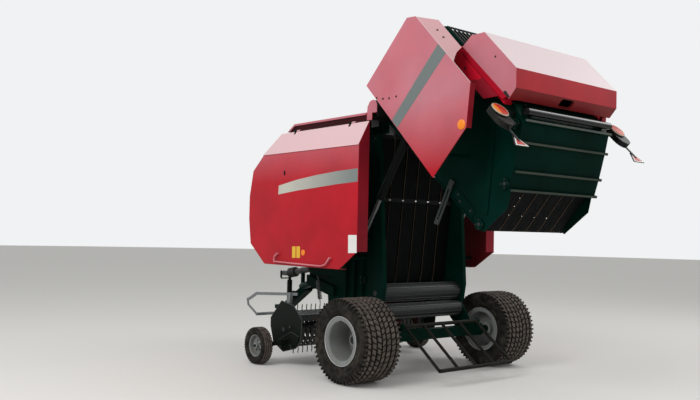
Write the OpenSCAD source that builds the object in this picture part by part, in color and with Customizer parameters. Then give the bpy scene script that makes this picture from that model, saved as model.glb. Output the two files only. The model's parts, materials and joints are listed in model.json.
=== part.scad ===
// Trailed round baler with its tailgate raised, standing on its wheels and jack.
// X points to the machine's left, Y to its rear, Z up. The axle frame has y = 0 at the axle
// and is moved at the end so that the origin lies under the middle of the whole machine.

/* [Chamber] */
// Clear width between the front chamber walls
chamber_w = 1200; // [1150:10:1250]
// Thickness of a chamber wall with its stiffening
wall_t = 12; // [10:1:14]
// Running gap between the front walls and the tailgate walls
wall_gap = 10; // [8:1:12]
// Depth of the front walls' rear posts
post_d = 36; // [30:1:38]
// Width that the ribs of the tailgate's rear wall stand past its walls
rib_over = 41; // [30:1:60]
// Width of one belt
belt_w = 175; // [160:1:185]
// Spacing of the belts across the chamber
belt_pitch = 198; // [190:1:200]
// Number of belts side by side
belt_n = 6; // [6:1:6]
// Thickness of a belt
belt_t = 8; // [6:1:10]
// Radius of the belt rollers
roller_r = 50; // [44:1:56]
// Radius of the roller stubs in their wall bearings
stub_r = 20; // [16:1:24]

/* [Tailgate] */
// Distance of the tailgate pivot ahead of the axle
pivot_ahead = 108; // [100:1:120]
// Height of the tailgate pivot
pivot_z = 2723; // [2710:1:2735]
// Angle by which the tailgate stands open
gate_open = 45; // [40:1:45]
// Radius of the tailgate's pivot pins
pivot_r = 24; // [20:1:28]

/* [Shields] */
// Distance of a side shield's face from the middle of the machine
shield_x = 1071; // [1060:1:1085]
// Sheet thickness of the shields, lid and hood with their folded edges
sheet_t = 8; // [6:1:10]
// Depth of the front shields' folded edges
front_fold_d = 102; // [95:1:110]
// Depth of the tailgate shields' folded edges
gate_fold_d = 70; // [60:1:80]
// Distance of the inner edge of the tailgate shields' bevelled rear from the middle
gate_bevel_x = 880; // [870:1:900]
// Height of the top of the front shields' upright face
shield_top_z = 2432; // [2420:1:2440]
// Distance of the front shields' bevelled top edge from the middle
bevel_x = 930; // [920:1:945]
// Height of the front shields' bevelled top edge
bevel_z = 2690; // [2680:1:2695]
// Height of the hood's top
hood_z = 2800; // [2790:1:2810]

/* [Net box] */
// Half width of the net box lid
lid_x = 792; // [780:1:800]
// Wall thickness of the net box lid
lid_t = 14; // [10:1:18]
// Radius of the round bar below the net box
bumper_r = 34; // [30:1:38]

/* [Wheels] */
// Outside radius of the main tyres at the lugs' tips
tyre_r = 433; // [425:1:440]
// Width of the main tyres
tyre_w = 490; // [480:1:500]
// Distance of a main tyre's outer face from the middle
tyre_out = 1300; // [1290:1:1310]
// Outside radius of the main rims
rim_r = 250; // [240:1:256]
// Radius of the axle spindles
spindle_r = 40; // [34:1:44]
// Outside radius of the gauge tyres
gauge_r = 210; // [205:1:215]
// Width of the gauge tyres
gauge_w = 140; // [130:1:150]
// Distance of a gauge tyre's outer face from the middle
gauge_out = 1335; // [1330:1:1350]
// Outside radius of the gauge wheel rims
gauge_rim_r = 125; // [120:1:130]
// Distance of the gauge wheels ahead of the axle
gauge_ahead = 1500; // [1480:1:1520]

/* [Pickup] */
// Distance of a pickup side plate's outer face from the middle
pickup_x = 1062; // [1050:1:1075]
// Thickness of a pickup side plate
pickup_t = 12; // [8:1:16]
// Distance of the reel's axis ahead of the axle
reel_ahead = 1300; // [1290:1:1310]
// Height of the reel's axis
reel_z = 400; // [390:1:410]
// Outside radius of the strippers between the tines
band_r = 205; // [200:1:210]
// Radius to the tine tips
tine_r = 280; // [270:1:290]
// Spacing of the tines along a bar
tine_pitch = 66; // [60:1:72]

/* [Drawbar] */
// Distance of the hitch eye ahead of the axle
hitch_ahead = 2950; // [2900:10:3000]
// Height of the hitch eye
hitch_z = 480; // [450:5:510]
// Radius of the hitch eye's bore
hitch_bore_r = 25.5; // [25:0.5:26]
// Length of the hitch eye's bore
hitch_len = 50; // [40:1:60]
// Radius of the driveline yoke's bore
yoke_r = 17.5; // [15:0.5:20]

/* [Hidden] */
$fn = 64;

// Clearances: pins turn with pin_gap all round, pieces lie seat_gap off what carries them,
// and parts that move past each other keep run_gap
pin_gap = 0.06;
seat_gap = 0.3;
run_gap = 8;
belt_gap = 0.5;

// Chamber planes, from the middle outwards
wall_in = chamber_w / 2;
wall_out = wall_in + wall_t;
gate_in = wall_out + wall_gap;
gate_out = gate_in + wall_t;
rib_x = gate_out + rib_over;
pivot_y = -pivot_ahead;

// Side outlines as [y, z] in the axle frame, with the tailgate shut
front_shield_line = [
    [-5, shield_top_z], [-5, 1330], [-287, 1140], [-1725, 1140], [-2035, 1373],
    [-2083, 1673], [-2083, 1952], [-2012, 2257], [-1795, shield_top_z]
];
gate_shield_line = [
    [254, 2798], [245, 1417], [832, 1436], [1143, 1686], [1161, 2708], [1082, 2800]
];
net_lid_line = [
    [1193, 2236], [1193, 1444], [1312, 1453], [1437, 1576], [1447, 2112], [1332, 2223]
];
rear_wall_line = [[1150, 1440], [1104, 1262], [947, 1161], [719, 1028], [565, 948]];
side_wall_line = [
    [-165, 2690], [-165, 2600], [-55, 960], [-90, 760], [-300, 720], [-560, 600], [-880, 600],
    [-960, 615], [-1040, 615], [-1060, 800], [-1420, 880], [-1480, 2250], [-1300, 2690]
];
gate_wall_line = [
    [-60, 2660], [40, 1040], [66, 900], [420, 858], [565, 948], [719, 1028],
    [947, 1161], [1104, 1262], [1150, 1440], [1150, 2700], [1090, 2780], [20, 2780]
];

// Rollers as [y, z, radius]
front_roll = [[-250, 2560, roller_r], [-1230, 2480, roller_r], [-1180, 1180, roller_r], [-420, 1010, roller_r]];
gate_roll = [[85, 980, roller_r], [560, 1030, roller_r], [1020, 1330, roller_r], [1030, 2620, roller_r], [150, 2640, roller_r]];
bearing_r = 52;
bearing_d = 18;
starter_at = [-190, 880];
starter_r = 95;
shaft_r = 28;
floor_at = [-140, 680];
floor_r = 80;
rotor_at = [-720, 640];
rotor_r = 220;

// The cylinder's gate pin and frame pin, tailgate shut
cyl_x = gate_out + 66;
cyl_gate_pin = [350, 2350];
cyl_frame_pin = [-350, 1450];
cyl_pin_r = 16;
barrel_r = 42;
rod_r = 22;

// A point carried from the shut tailgate to the raised one
function swing(p, a = gate_open) = [
    pivot_y + (p[0] - pivot_y) * cos(a) - (p[1] - pivot_z) * sin(a),
    pivot_z + (p[0] - pivot_y) * sin(a) + (p[1] - pivot_z) * cos(a)
];

// Reach of the whole machine, which sets the origin
reflector_tip = [1058, 943];
ramp_at = [180, 560];
door_hinge_y = [-1340, -330];
door_hinge_z = bevel_z + 10;
rear_y = swing(reflector_tip)[0];
eye_r = 60;
front_y = -hitch_ahead - eye_r;
mid_y = (front_y + rear_y) / 2;

module placed() translate([0, -mid_y, 0]) children();
module on_gate() translate([0, pivot_y, pivot_z]) rotate([gate_open, 0, 0])
    translate([0, -pivot_y, -pivot_z]) children();
module right_hand() mirror([1, 0, 0]) children();
module both_sides() for (m = [0, 1]) mirror([m, 0, 0]) children();

// A [y, z] outline extruded from x0 to x1
module along_x(x0, x1) translate([x0, 0, 0]) rotate([90, 0, 90]) linear_extrude(x1 - x0) children();
// A rod along X round the point p = [y, z]
module rod_x(r, x0, x1, p) translate([x0, p[0], p[1]]) rotate([0, 90, 0]) cylinder(r = r, h = x1 - x0);
// A bar of round section between two points
module bar(r, a, b) {
    d = b - a;
    translate(a) rotate([0, acos(d[2] / norm(d)), atan2(d[1], d[0])]) cylinder(r = r, h = norm(d));
}
// A bar of square section between two [y, z] points, from x0 to x1
module beam_yz(x0, x1, a, b, w) {
    d = b - a;
    n = [-d[1], d[0]] * w / 2 / norm(d);
    along_x(x0, x1) polygon([a + n, a - n, b - n, b + n]);
}

// The outline moved inwards by d, for a convex outline that runs clockwise or not
function turn(p) = let (n = len(p)) sign([for (i = [0:n - 1])
    let (a = p[i], b = p[(i + 1) % n]) a[0] * b[1] - b[0] * a[1]] * [for (i = [0:n - 1]) 1]);
function edge_n(a, b, s) = s * [-(b[1] - a[1]), b[0] - a[0]] / norm(b - a);
function inset(p, d) = let (n = len(p), s = turn(p)) [for (i = [0:n - 1])
    let (
        a = p[(i + n - 1) % n], b = p[i], c = p[(i + 1) % n],
        u = edge_n(a, b, s), v = edge_n(b, c, s), k = 1 + u * v
    ) b + (u + v) * d / k];

// A pressed pan: a face with a folded edge all round, face at x1
module pan(line, x1, depth, t) difference() {
    along_x(x1 - depth, x1) polygon(line);
    along_x(x1 - depth - 1, x1 - t) polygon(inset(line, t));
}

// The closed outline that a belt makes round rollers p = [y, z, r] at distance e
function side_n(a, b) = [b[1] - a[1], -(b[0] - a[0])] / norm([b[0] - a[0], b[1] - a[1]]);
function round_rollers(p, e) = [for (i = [0:len(p) - 1])
    let (
        n = len(p), b = p[i], u = side_n(p[(i + n - 1) % n], b), v = side_n(b, p[(i + 1) % n]),
        from = atan2(u[1], u[0]), wrap = (atan2(v[1], v[0]) - from + 360) % 360, steps = ceil(wrap / 10)
    ) for (k = [0:steps])
        [b[0] + (b[2] + e) * cos(from + wrap * k / steps), b[1] + (b[2] + e) * sin(from + wrap * k / steps)]];
module belts(p) for (i = [0:belt_n - 1]) {
    x = (i - (belt_n - 1) / 2) * belt_pitch;
    along_x(x - belt_w / 2, x + belt_w / 2) difference() {
        polygon(round_rollers(p, belt_t + belt_gap));
        polygon(round_rollers(p, belt_gap));
    }
}
// A flat sheet through the corners p, with its thickness t against the normal
module sheet(p, t) {
    u = (p[1] - p[0]) / norm(p[1] - p[0]);
    c = cross(u, p[2] - p[0]);
    n = c / norm(c);
    v = cross(n, u);
    multmatrix([
        [u[0], v[0], n[0], p[0][0]], [u[1], v[1], n[1], p[0][1]], [u[2], v[2], n[2], p[0][2]], [0, 0, 0, 1]
    ]) translate([0, 0, -t]) linear_extrude(t) polygon([for (q = p) [(q - p[0]) * u, (q - p[0]) * v]]);
}
// Bearing housings of rollers p outside a wall at x, and the bores for their stubs
module housings(p, x) for (q = p) rod_x(bearing_r, x, x + bearing_d, q);
module stub_bores(p, x0, x1) for (q = p) rod_x(stub_r + pin_gap, x0 - 1, x1 + bearing_d / 2, q);
module rollers(p, x1) for (q = p) {
    rod_x(q[2], -x1, x1, q);
    rod_x(stub_r, -x1 - wall_t, x1 + wall_t, q);
}

// Chassis

module side_wall() placed() color("#0d2a22") difference() {
    union() {
        along_x(wall_in, wall_out) {
            polygon(side_wall_line);
            // Pivot plate and leg down to the axle
            polygon([[-220, 2600], [-220, 2760], [-70, 2760], [-60, 2600]]);
            polygon([[-300, 760], [-90, 760], [70, 520], [70, 378], [-70, 378], [-300, 600]]);
        }
        // Rear post, ahead of the tailgate wall's front edge
        along_x(wall_out, wall_out + post_d)
            polygon([[-230, 2600], [-165, 2600], [-55, 960], [-90, 760], [-230, 760]]);
        rod_x(pivot_r, wall_out, gate_out + 30, [pivot_y, pivot_z]);
        rod_x(cyl_pin_r + 16, wall_out, cyl_x - 36, cyl_frame_pin);
        rod_x(pickup_pin_r, wall_out, wall_out + 20, pickup_pivot);
        housings(front_roll, wall_out);
        // Ribs
        for (y = [-700, -560, -420])
            along_x(wall_out, wall_out + 40) polygon([[y, 760], [y + 10, 760], [y + 10, 1300], [y, 1300]]);
    }
    stub_bores(front_roll, wall_in, wall_out);
    for (q = [starter_at, floor_at, rotor_at])
        rod_x(shaft_r + pin_gap, wall_in - 1, wall_out + post_d + 1, q);
}
module side_wall_left() side_wall();
module side_wall_right() right_hand() side_wall();

module axle() placed() color("#0d2a22") {
    translate([-wall_in, -55, tyre_r - 55]) cube([2 * wall_in, 110, 110]);
    both_sides() {
        rod_x(70, wall_out, tyre_out - tyre_w + 20, [0, tyre_r]);
        rod_x(spindle_r, wall_out, tyre_out - tyre_w / 2 + hub_len - 16, [0, tyre_r]);
        // Lug and pin of the bale ramp
        along_x(575, 590) polygon([[50, 400], [50, 480], ramp_at + [-10, 30], ramp_at + [30, 10], ramp_at + [20, -30]]);
        rod_x(12, 510, 580, ramp_at);
    }
}

module drawbar() placed() color("#0d2a22") difference() {
    union() {
        along_x(-wall_in, wall_in) polygon([[-1420, 905], [-1300, 905], [-1300, 1015], [-1420, 1015]]);
        both_sides() {
            bar(45, [480, -1340, 960], [60, -2330, 800]);
            along_x(wall_out, 660) polygon([[-1420, 905], [-900, 800], [-900, 900], [-1420, 1015]]);
        }
        along_x(-eye_r, eye_r) polygon([
            [-2260, 860], [-2260, 745], [-2720, hitch_z - hitch_len / 2], [-hitch_ahead + 40, hitch_z - hitch_len / 2],
            [-hitch_ahead + 40, hitch_z + hitch_len / 2], [-2740, 560]
        ]);
        translate([0, -hitch_ahead, hitch_z - hitch_len / 2]) cylinder(r = eye_r, h = hitch_len);
        // Rest for the parked driveline
        along_x(-20, 20) polygon([[-2420, 700], [-2380, 700], [-2380, 969.8], [-2420, 963.5]]);
    }
    translate([0, -hitch_ahead, hitch_z - hitch_len / 2 - 60]) cylinder(r = hitch_bore_r, h = hitch_len + 120);
}

jack_at = [160, -2480];
module jack() placed() color("#2b2b2b") {
    translate(jack_at) {
        cylinder(r = 90, h = 12);
        cylinder(r = 24, h = 300);
        translate([0, 0, 240]) cylinder(r = 34, h = 640);
        translate([0, 0, 880]) cylinder(r = 20, h = 40);
    }
    translate([60, jack_at[1] - 40, 640]) cube([70, 80, 90]);
    bar(8, [jack_at[0], jack_at[1], 905], [300, jack_at[1], 905]);
}

module gearbox() placed() color("#7c1c1c") {
    translate([-110, -1560, 1015]) cube([220, 260, 210]);
    translate([0, -1560, shaft_z]) rotate([90, 0, 0]) cylinder(r = 75, h = 60);
    rod_x(60, 110, 560, [-1400, shaft_z]);
    rod_x(90, 560, wall_in, [-1400, shaft_z]);
}

shaft_z = 1120;
yoke_at = [-2780, 950];
module driveline() placed() color("#c9a227") difference() {
    union() {
        translate([0, -1620, shaft_z]) rotate([90, 0, 0]) cylinder(r = 40, h = 90);
        bar(40, [0, -1700, shaft_z - 2], [0, -2700, yoke_at[1] + 10]);
        bar(62, [0, -1700, shaft_z - 2], [0, -1840, shaft_z - 24]);
        bar(62, [0, -2560, yoke_at[1] + 33], [0, -2700, yoke_at[1] + 10]);
        translate([0, -2690, yoke_at[1]]) rotate([90, 0, 0]) cylinder(r = 34, h = 90 + yoke_len);
    }
    translate([0, yoke_at[0], yoke_at[1]]) rotate([90, 0, 0]) cylinder(r = yoke_r, h = yoke_len + 1);
}
yoke_len = 80;

module cross_frame() placed() color("#0d2a22") {
    for (p = [[-1400, 2350], [-1300, 2600], [-700, 2640], [-1400, 1300]])
        along_x(-wall_in, wall_in) translate(p) square([60, 60], center = true);
    both_sides() {
        // Stops that the side shields rest on
        for (p = [[-1380, 1250], [-370, 1250]]) rod_x(18, wall_out, shield_x - sheet_t - 0.3, p);
        // Arms that carry the shields' hinge pins
        for (y = door_hinge_y) {
            along_x(wall_out, bevel_x + 12) polygon([[y, 2640], [y + 30, 2640], [y + 30, 2680], [y, 2680]]);
            translate([bevel_x - 18, y, 2640]) cube([30, 30, door_hinge_z - 2628]);
            translate([bevel_x - 3, y + 20, door_hinge_z]) rotate([-90, 0, 0]) cylinder(r = 7, h = 80);
        }
        // Posts under the hood
        for (y = [-1300, -420]) along_x(wall_in, wall_out)
            polygon([[y, 2690], [y + 60, 2690], [y + 60, hood_z - sheet_t], [y, hood_z - sheet_t]]);
    }
}

// Front shields and hood

module front_shield() placed() color("#b3121f") difference() {
    union() {
        pan(front_shield_line, shield_x, front_fold_d, sheet_t);
        // Bevelled top sheet
        intersection() {
            along_x(bevel_x - 20, shield_x) polygon([[-5, shield_top_z - 1], [-1795, shield_top_z - 1], [-1610, bevel_z], [-5, bevel_z]]);
            rotate([90, 0, 0]) linear_extrude(2200) polygon([
                [shield_x, shield_top_z], [bevel_x, bevel_z], [bevel_x - 9, bevel_z], [shield_x - 11, shield_top_z]
            ]);
        }
        for (y = door_hinge_y) translate([bevel_x - 3, y + 38, door_hinge_z]) rotate([-90, 0, 0]) cylinder(r = 13, h = 60);
    }
    for (y = door_hinge_y) {
        translate([bevel_x - 3, y + 37, door_hinge_z]) rotate([-90, 0, 0]) cylinder(r = 7 + pin_gap, h = 62);
        translate([bevel_x - 40, y - 6, 2625]) cube([100, 42, 120]);
    }
}
module front_shield_left() front_shield();
module front_shield_right() right_hand() front_shield();

hood_x = 880;
hood_low = 2715;
hood_line = [[-30, hood_low], [-1560, hood_low], [-1420, hood_z], [-30, hood_z]];
hood_cap_line = [[-112, 2790], [-104, 2862], [-70, 2912], [-20, 2928], [22, 2915], [46, 2870], [46, 2790]];
module hood() placed() color("#b3121f") {
    difference() {
        along_x(-hood_x, hood_x) polygon(hood_line);
        along_x(-hood_x + sheet_t, hood_x - sheet_t) polygon([
            [-29, hood_low - 1], [-1520, hood_low - 1], [-1410, hood_z - sheet_t], [-29, hood_z - sheet_t]
        ]);
        translate([-rib_x - 20, -190, 2600]) cube([2 * rib_x + 40, 200, 300]);
    }
    // Rounded caps at the rear corners
    both_sides() pan(hood_cap_line, hood_x, 90, sheet_t);
}

// Chamber fittings on the chassis

module front_belts() placed() color("#26282a") belts(front_roll);
module front_rollers() placed() color("#3a3d3f") rollers(front_roll, wall_in - 5);
module starter_roller() placed() color("#5d6062") {
    rod_x(starter_r, -wall_in + run_gap, wall_in - run_gap, starter_at);
    rod_x(shaft_r, -wall_out - post_d, wall_out + post_d, starter_at);
}
module floor_roller() placed() color("#5d6062") {
    rod_x(floor_r, -wall_in + run_gap, wall_in - run_gap, floor_at);
    rod_x(shaft_r, -wall_out, wall_out, floor_at);
}
module feed_rotor() placed() color("#4a2020") {
    rod_x(90, -wall_in + run_gap, wall_in - run_gap, rotor_at);
    rod_x(shaft_r, -wall_out, wall_out, rotor_at);
    for (i = [0:9]) along_x(-508 + i * 112, -500 + i * 112) translate(rotor_at) rotate(i * 36)
        for (a = [0, 90, 180, 270]) rotate(a) polygon([[0, -60], [rotor_r - 20, -60], [rotor_r, -10], [0, 60]]);
}

// Tailgate

module gate_wall() placed() on_gate() color("#0f3a33") difference() {
    union() {
        along_x(gate_in, gate_out) {
            polygon(gate_wall_line);
            translate([pivot_y, pivot_z]) circle(r = 46);
            polygon([[pivot_y, pivot_z - 46], [pivot_y, pivot_z + 46], [20, 2780], [-40, 2600]]);
            translate([gate_roll[0][0], gate_roll[0][1]]) circle(r = bearing_r + 8);
        }
        // Front edge flange and diagonal channel
        along_x(gate_out, gate_out + 14) polygon([[40, 1040], [52, 1040], [-48, 2660], [-60, 2660]]);
        beam_yz(gate_out, gate_out + 12, [200, 1000], [1060, 1700], 60);
        housings(gate_roll, gate_out);
        rod_x(cyl_pin_r, gate_out, cyl_x + 34, cyl_gate_pin);
        rod_x(cyl_pin_r + 16, gate_out, cyl_x - 36, cyl_gate_pin);
        // Arms that carry the side shield
        for (p = [[420, 2600], [980, 2600], [980, 1800], [420, 1560]]) rod_x(16, gate_out, shield_x - sheet_t - 0.3, p);
    }
    rod_x(pivot_r + pin_gap, gate_in - 1, gate_out + 1, [pivot_y, pivot_z]);
    stub_bores(gate_roll, gate_in, gate_out);
}
module gate_wall_left() gate_wall();
module gate_wall_right() right_hand() gate_wall();

module gate_rear_wall() placed() on_gate() color("#0b241f") {
    n = len(rear_wall_line);
    along_x(-gate_in + seat_gap, gate_in - seat_gap) for (i = [0:n - 2]) {
        a = rear_wall_line[i];
        b = rear_wall_line[i + 1];
        m = side_n(a, b) * wall_t;
        polygon([a, b, b + m, a + m]);
    }
    along_x(-gate_in + seat_gap, gate_in - seat_gap) polygon([
        rear_wall_line[0], [1150, grille_z], [1150 - wall_t, grille_z], [1150 - wall_t, rear_wall_line[0][1]]
    ]);
    for (i = [1:n - 1]) {
        a = side_n(rear_wall_line[i - 1], rear_wall_line[i]);
        o = -a - (i < n - 1 ? side_n(rear_wall_line[i], rear_wall_line[i + 1]) : a);
        rib(rear_wall_line[i], o / norm(o), rib_gap, rib_x);
        rib(rear_wall_line[i], o / norm(o), -rib_w / 2, gate_in - seat_gap);
    }
}
// A rib across the rear wall's bend at p, standing rib_d out along o, from depth d0
rib_d = 34;
rib_w = 26;
rib_gap = 1.5;
module rib(p, o, d0, x1) along_x(-x1, x1) {
    t = [-o[1], o[0]] * rib_w / 2;
    polygon([p + o * d0 + t, p + o * d0 - t, p + o * rib_d - t, p + o * rib_d + t]);
}

module bumper_bar() placed() on_gate() color("#141516") {
    rod_x(bumper_r, -rib_x + 25, rib_x - 25, bumper_at);
    both_sides() along_x(552, 564) polygon([
        rear_wall_line[0] + [seat_gap, 0], rear_wall_line[0] + [22, -10], bumper_at + [26, 20], bumper_at + [0, -20],
        rear_wall_line[0] + [-34.7, -135.6]
    ]);
}
bumper_at = [1180, 1310];
grille_z = 2290;

module gate_shield() placed() on_gate() color("#b3121f") {
    low = gate_shield_line[3];
    top = gate_shield_line[4];
    root = sheet_t / 2;
    inner = [gate_bevel_x, top[0] + bevel_back, top[1] - bevel_drop];
    foot = low + (top - low) * (bevel_foot - low[1]) / (top[1] - low[1]);
    pan(gate_shield_line, shield_x, gate_fold_d, sheet_t);
    // Bevelled rear sheet, rooted half way into the fold
    sheet(concat(
        [inner, [shield_x - root, top[0] - root, top[1] - root], [shield_x - root, foot[0] - root, foot[1]]],
        bevel_cut, [inner - [0, 10, bevel_len]]
    ), sheet_t);
}
bevel_back = 68;
bevel_drop = 102;
bevel_len = 440;
bevel_foot = 1985;
// Corners of the cut below the bevelled sheet
bevel_cut = [[1010, 1171, 2060], [956, 1190, 2117]];
module gate_shield_left() gate_shield();
module gate_shield_right() right_hand() gate_shield();

module gate_top_grille() placed() on_gate() color("#1c1e1f") {
    // Slats across the top, and upright ones in the rear wall above the net box
    for (y = [40:60:1080]) along_x(-gate_in + seat_gap, gate_in - seat_gap) translate([y, 2760]) square([12, 12]);
    for (x = [-500:250:500]) translate([x - 6, 40, 2752]) cube([12, 1052, 12]);
    for (x = [-600:60:600]) translate([x - 6, 1150 - wall_t, grille_z + seat_gap]) cube([12, wall_t, 2690 - grille_z]);
    along_x(-gate_in + seat_gap, gate_in - seat_gap) translate([1150 - wall_t, 2690]) square([wall_t, 20]);
}

module gate_belts() placed() on_gate() color("#26282a") belts(gate_roll);
module gate_rollers() placed() on_gate() color("#3a3d3f") rollers(gate_roll, gate_in - 5);

module net_box_base() placed() on_gate() color("#c2121f") for (m = [0, 1]) mirror([m, 0, 0]) {
    along_x(gate_out, lid_x - 62) polygon([[1100, 1500], [1186, 1500], [1186, 2210], [1150, 2290], [1100, 2290]]);
    along_x(lid_x - 12, lid_x) polygon([
        [1010, 1680], [1135, 1560], [1135, 2222], [1164, 2236], [1187, 2240], [1187, 2260], [1010, 2290]
    ]);
    along_x(lid_x - 63, lid_x - 11) polygon([[1100, 1620], [1130, 1600], [1130, 2215], [1100, 2230]]);
    rod_x(8, 735, lid_x, lid_hinge);
}
lid_hinge = [1180, 2246];

module net_lid() placed() on_gate() color("#b3121f") difference() {
    union() {
        along_x(-lid_x, lid_x) polygon(net_lid_line);
        both_sides() along_x(744, 774) {
            translate(lid_hinge) circle(r = 14);
            polygon([lid_hinge + [0, 14], [1230, 2236], [1230, 2228], [1192, 2228], lid_hinge - [0, 14]]);
        }
        // Flanges beside the fixed end plates
        both_sides() along_x(lid_x - 16, lid_x) polygon([[1141, 1500], [1194, 1480], [1194, 2210], [1141, 2210]]);
    }
    along_x(-lid_x + lid_t, lid_x - lid_t) polygon(concat(
        [[1192, 2236 - lid_t], [1192, 1444 + lid_t]],
        [for (i = [2:5]) inset(net_lid_line, lid_t)[i]]));
    both_sides() rod_x(8 + pin_gap, 743, 775, lid_hinge);
    // Hand hole in the lower bevel
    translate([0, (net_lid_line[2][0] + net_lid_line[3][0]) / 2, (net_lid_line[2][1] + net_lid_line[3][1]) / 2])
        rotate([-135.4, 0, 0]) translate([0, 0, -30]) linear_extrude(60) polygon([
            [-85, -20], [-65, -40], [65, -40], [85, -20], [85, 20], [65, 40], [-65, 40], [-85, 20]
        ]);
}

lamp_x = 920;
lamp_z = 1357;
lens_r = 90;
// A stadium standing in the X-Z plane round lamp_x, from z0 up to z1, y0 to y1
module capsule(r, z0, z1, y0, y1) translate([lamp_x, y1, 0]) rotate([90, 0, 0]) linear_extrude(y1 - y0) {
    translate([0, z0 + r]) circle(r = r);
    translate([0, z1 - r]) circle(r = r);
    translate([-r, z0 + r]) square([2 * r, z1 - z0 - 2 * r]);
}
module lamp() placed() on_gate() color("#161718") {
    back = reflector_tip[0];
    along_x(gate_out, lamp_x - 20) polygon([[1060, 1396], [1085, 1396], [1085, 1440], [1060, 1440]]);
    capsule(lens_r + 4, 1165, lamp_z + lens_r + 4, back - 8, back + 48);
    capsule(lens_r, lamp_z - lens_r - 1, lamp_z + lens_r, back + 48, back + 60);
    // Arm and reflector triangle
    along_x(lamp_x - 12, lamp_x + 12) translate([back, 1000]) square([10, 200]);
    translate([lamp_x, back, reflector_tip[1]]) rotate([90, 0, 0]) linear_extrude(8)
        polygon([[-90, 0], [90, 0], [90, 14], [10, 140], [-10, 140], [-90, 14]]);
}
module lamp_left() lamp();
module lamp_right() right_hand() lamp();

module latch() placed() on_gate() color("#7f8486") {
    difference() {
        beam_yz(latch_x, latch_x + 12, [-300, 1366], [150, 1520], 60);
        beam_yz(latch_x - 1, latch_x + 13, [-260, 1380], [60, 1489], 22);
    }
    rod_x(24, gate_out, latch_x, [120, 1510]);
}
latch_x = wall_out + post_d + 4.3;
module latch_left() latch();
module latch_right() right_hand() latch();

// Tailgate cylinders: barrel pinned to the tailgate, rod eye at the frame

cyl_top = swing(cyl_gate_pin);
cyl_dir = (cyl_frame_pin - cyl_top) / norm(cyl_frame_pin - cyl_top);
cyl_open = norm(cyl_frame_pin - cyl_top);
cyl_shut = norm(cyl_frame_pin - cyl_gate_pin);
barrel_len = cyl_shut - 90;
// Frame with its Z along the cylinder, starting at the tailgate pin
module on_cylinder() translate([cyl_x, cyl_top[0], cyl_top[1]])
    rotate([atan2(-cyl_dir[0], cyl_dir[1]), 0, 0]) children();

module cylinder_node() placed() color("#1a1b1c") on_cylinder() difference() {
    union() {
        translate([0, 0, 40]) cylinder(r = barrel_r, h = barrel_len - 40);
        rotate([0, 90, 0]) translate([0, 0, -30]) cylinder(r = 36, h = 60);
        translate([-28, -30, 0]) cube([56, 60, 50]);
    }
    translate([0, 0, 80]) cylinder(r = rod_r + 0.3, h = barrel_len);
    rotate([0, 90, 0]) translate([0, 0, -40]) cylinder(r = cyl_pin_r + pin_gap, h = 80);
}
module cylinder_left() cylinder_node();
module cylinder_right() right_hand() cylinder_node();

module rod_node() placed() color("#c8ccd0") on_cylinder() difference() {
    union() {
        translate([0, 0, cyl_open - barrel_len + 100]) cylinder(r = rod_r, h = barrel_len - 100 - 20);
        translate([0, 0, cyl_open]) rotate([0, 90, 0]) translate([0, 0, -30]) cylinder(r = 36, h = 60);
    }
    translate([0, 0, cyl_open]) rotate([0, 90, 0]) translate([0, 0, -40]) cylinder(r = cyl_pin_r, h = 80);
}
module rod_left() rod_node();
module rod_right() right_hand() rod_node();

// Wheels

// A tyre's half section as [radius, width], turned round X
module turned(x) translate([x, 0, 0]) rotate([0, 90, 0]) rotate_extrude($fn = 32) children();
// Grooves round the tread, as half widths from g[0] to g[1]
tread_r = tyre_r - 22;
grooves = [[150, 168], [84, 102], [18, 36]];
module tyre() placed() color("#1d1e1f") translate([0, 0, tyre_r]) turned(tyre_out - tyre_w / 2) polygon(concat(
    [[rim_r + 0.3, -200], [rim_r + 40, -232], [335, -tyre_w / 2], [400, -232], [tyre_r - 6, -214], [tyre_r, -204]],
    [for (g = grooves) for (q = [[tyre_r, -g[1]], [tread_r, -g[1]], [tread_r, -g[0]], [tyre_r, -g[0]]]) q],
    [for (i = [2:-1:0]) let (g = grooves[i]) for (q = [[tyre_r, g[0]], [tread_r, g[0]], [tread_r, g[1]], [tyre_r, g[1]]]) q],
    [[tyre_r, 204], [tyre_r - 6, 214], [400, 232], [335, tyre_w / 2], [rim_r + 40, 232], [rim_r + 0.3, 200]],
    [[rim_r - 44.7, 180], [rim_r - 44.7, 155], [rim_r + 40, 200], [395, 190]],
    [[395, -190], [rim_r + 40, -200], [rim_r - 44.7, -155], [rim_r - 44.7, -180]]
));
module tyre_left() tyre();
module tyre_right() right_hand() tyre();

rim_in = rim_r - 54;
hub_len = 44;
hub_r = 66;
module rim() placed() color("#c8ccd0") translate([0, 0, tyre_r]) turned(tyre_out - tyre_w / 2) polygon([
    [spindle_r + pin_gap, -120], [75, -120], [75, -80], [rim_in, -80], [rim_in, -195], [rim_in + 7, -207],
    [rim_r, -215], [rim_r, -205], [rim_r - 38, -195], [rim_r - 45, -183], [rim_r - 45, 183], [rim_r - 38, 195],
    [rim_r, 205], [rim_r, 215], [rim_in + 7, 207], [rim_in, 195], [rim_in, -60], [104, -68], [hub_r + 10, -68],
    [hub_r, -40], [hub_r, hub_len - 8], [hub_r - 8, hub_len], [0, hub_len], [0, hub_len - 10],
    [spindle_r + pin_gap, hub_len - 10]
]);
module rim_left() rim();
module rim_right() right_hand() rim();

module gauge_tyre() placed() color("#1d1e1f") translate([0, -gauge_ahead, gauge_r]) turned(gauge_out - gauge_w / 2) polygon([
    [gauge_rim_r + 0.3, -40], [150, -62], [180, -gauge_w / 2], [gauge_r - 10, -60], [gauge_r, -44],
    [gauge_r, 44], [gauge_r - 10, 60], [180, gauge_w / 2], [150, 62], [gauge_rim_r + 0.3, 40]
]);
module gauge_tyre_left() gauge_tyre();
module gauge_tyre_right() right_hand() gauge_tyre();

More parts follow.
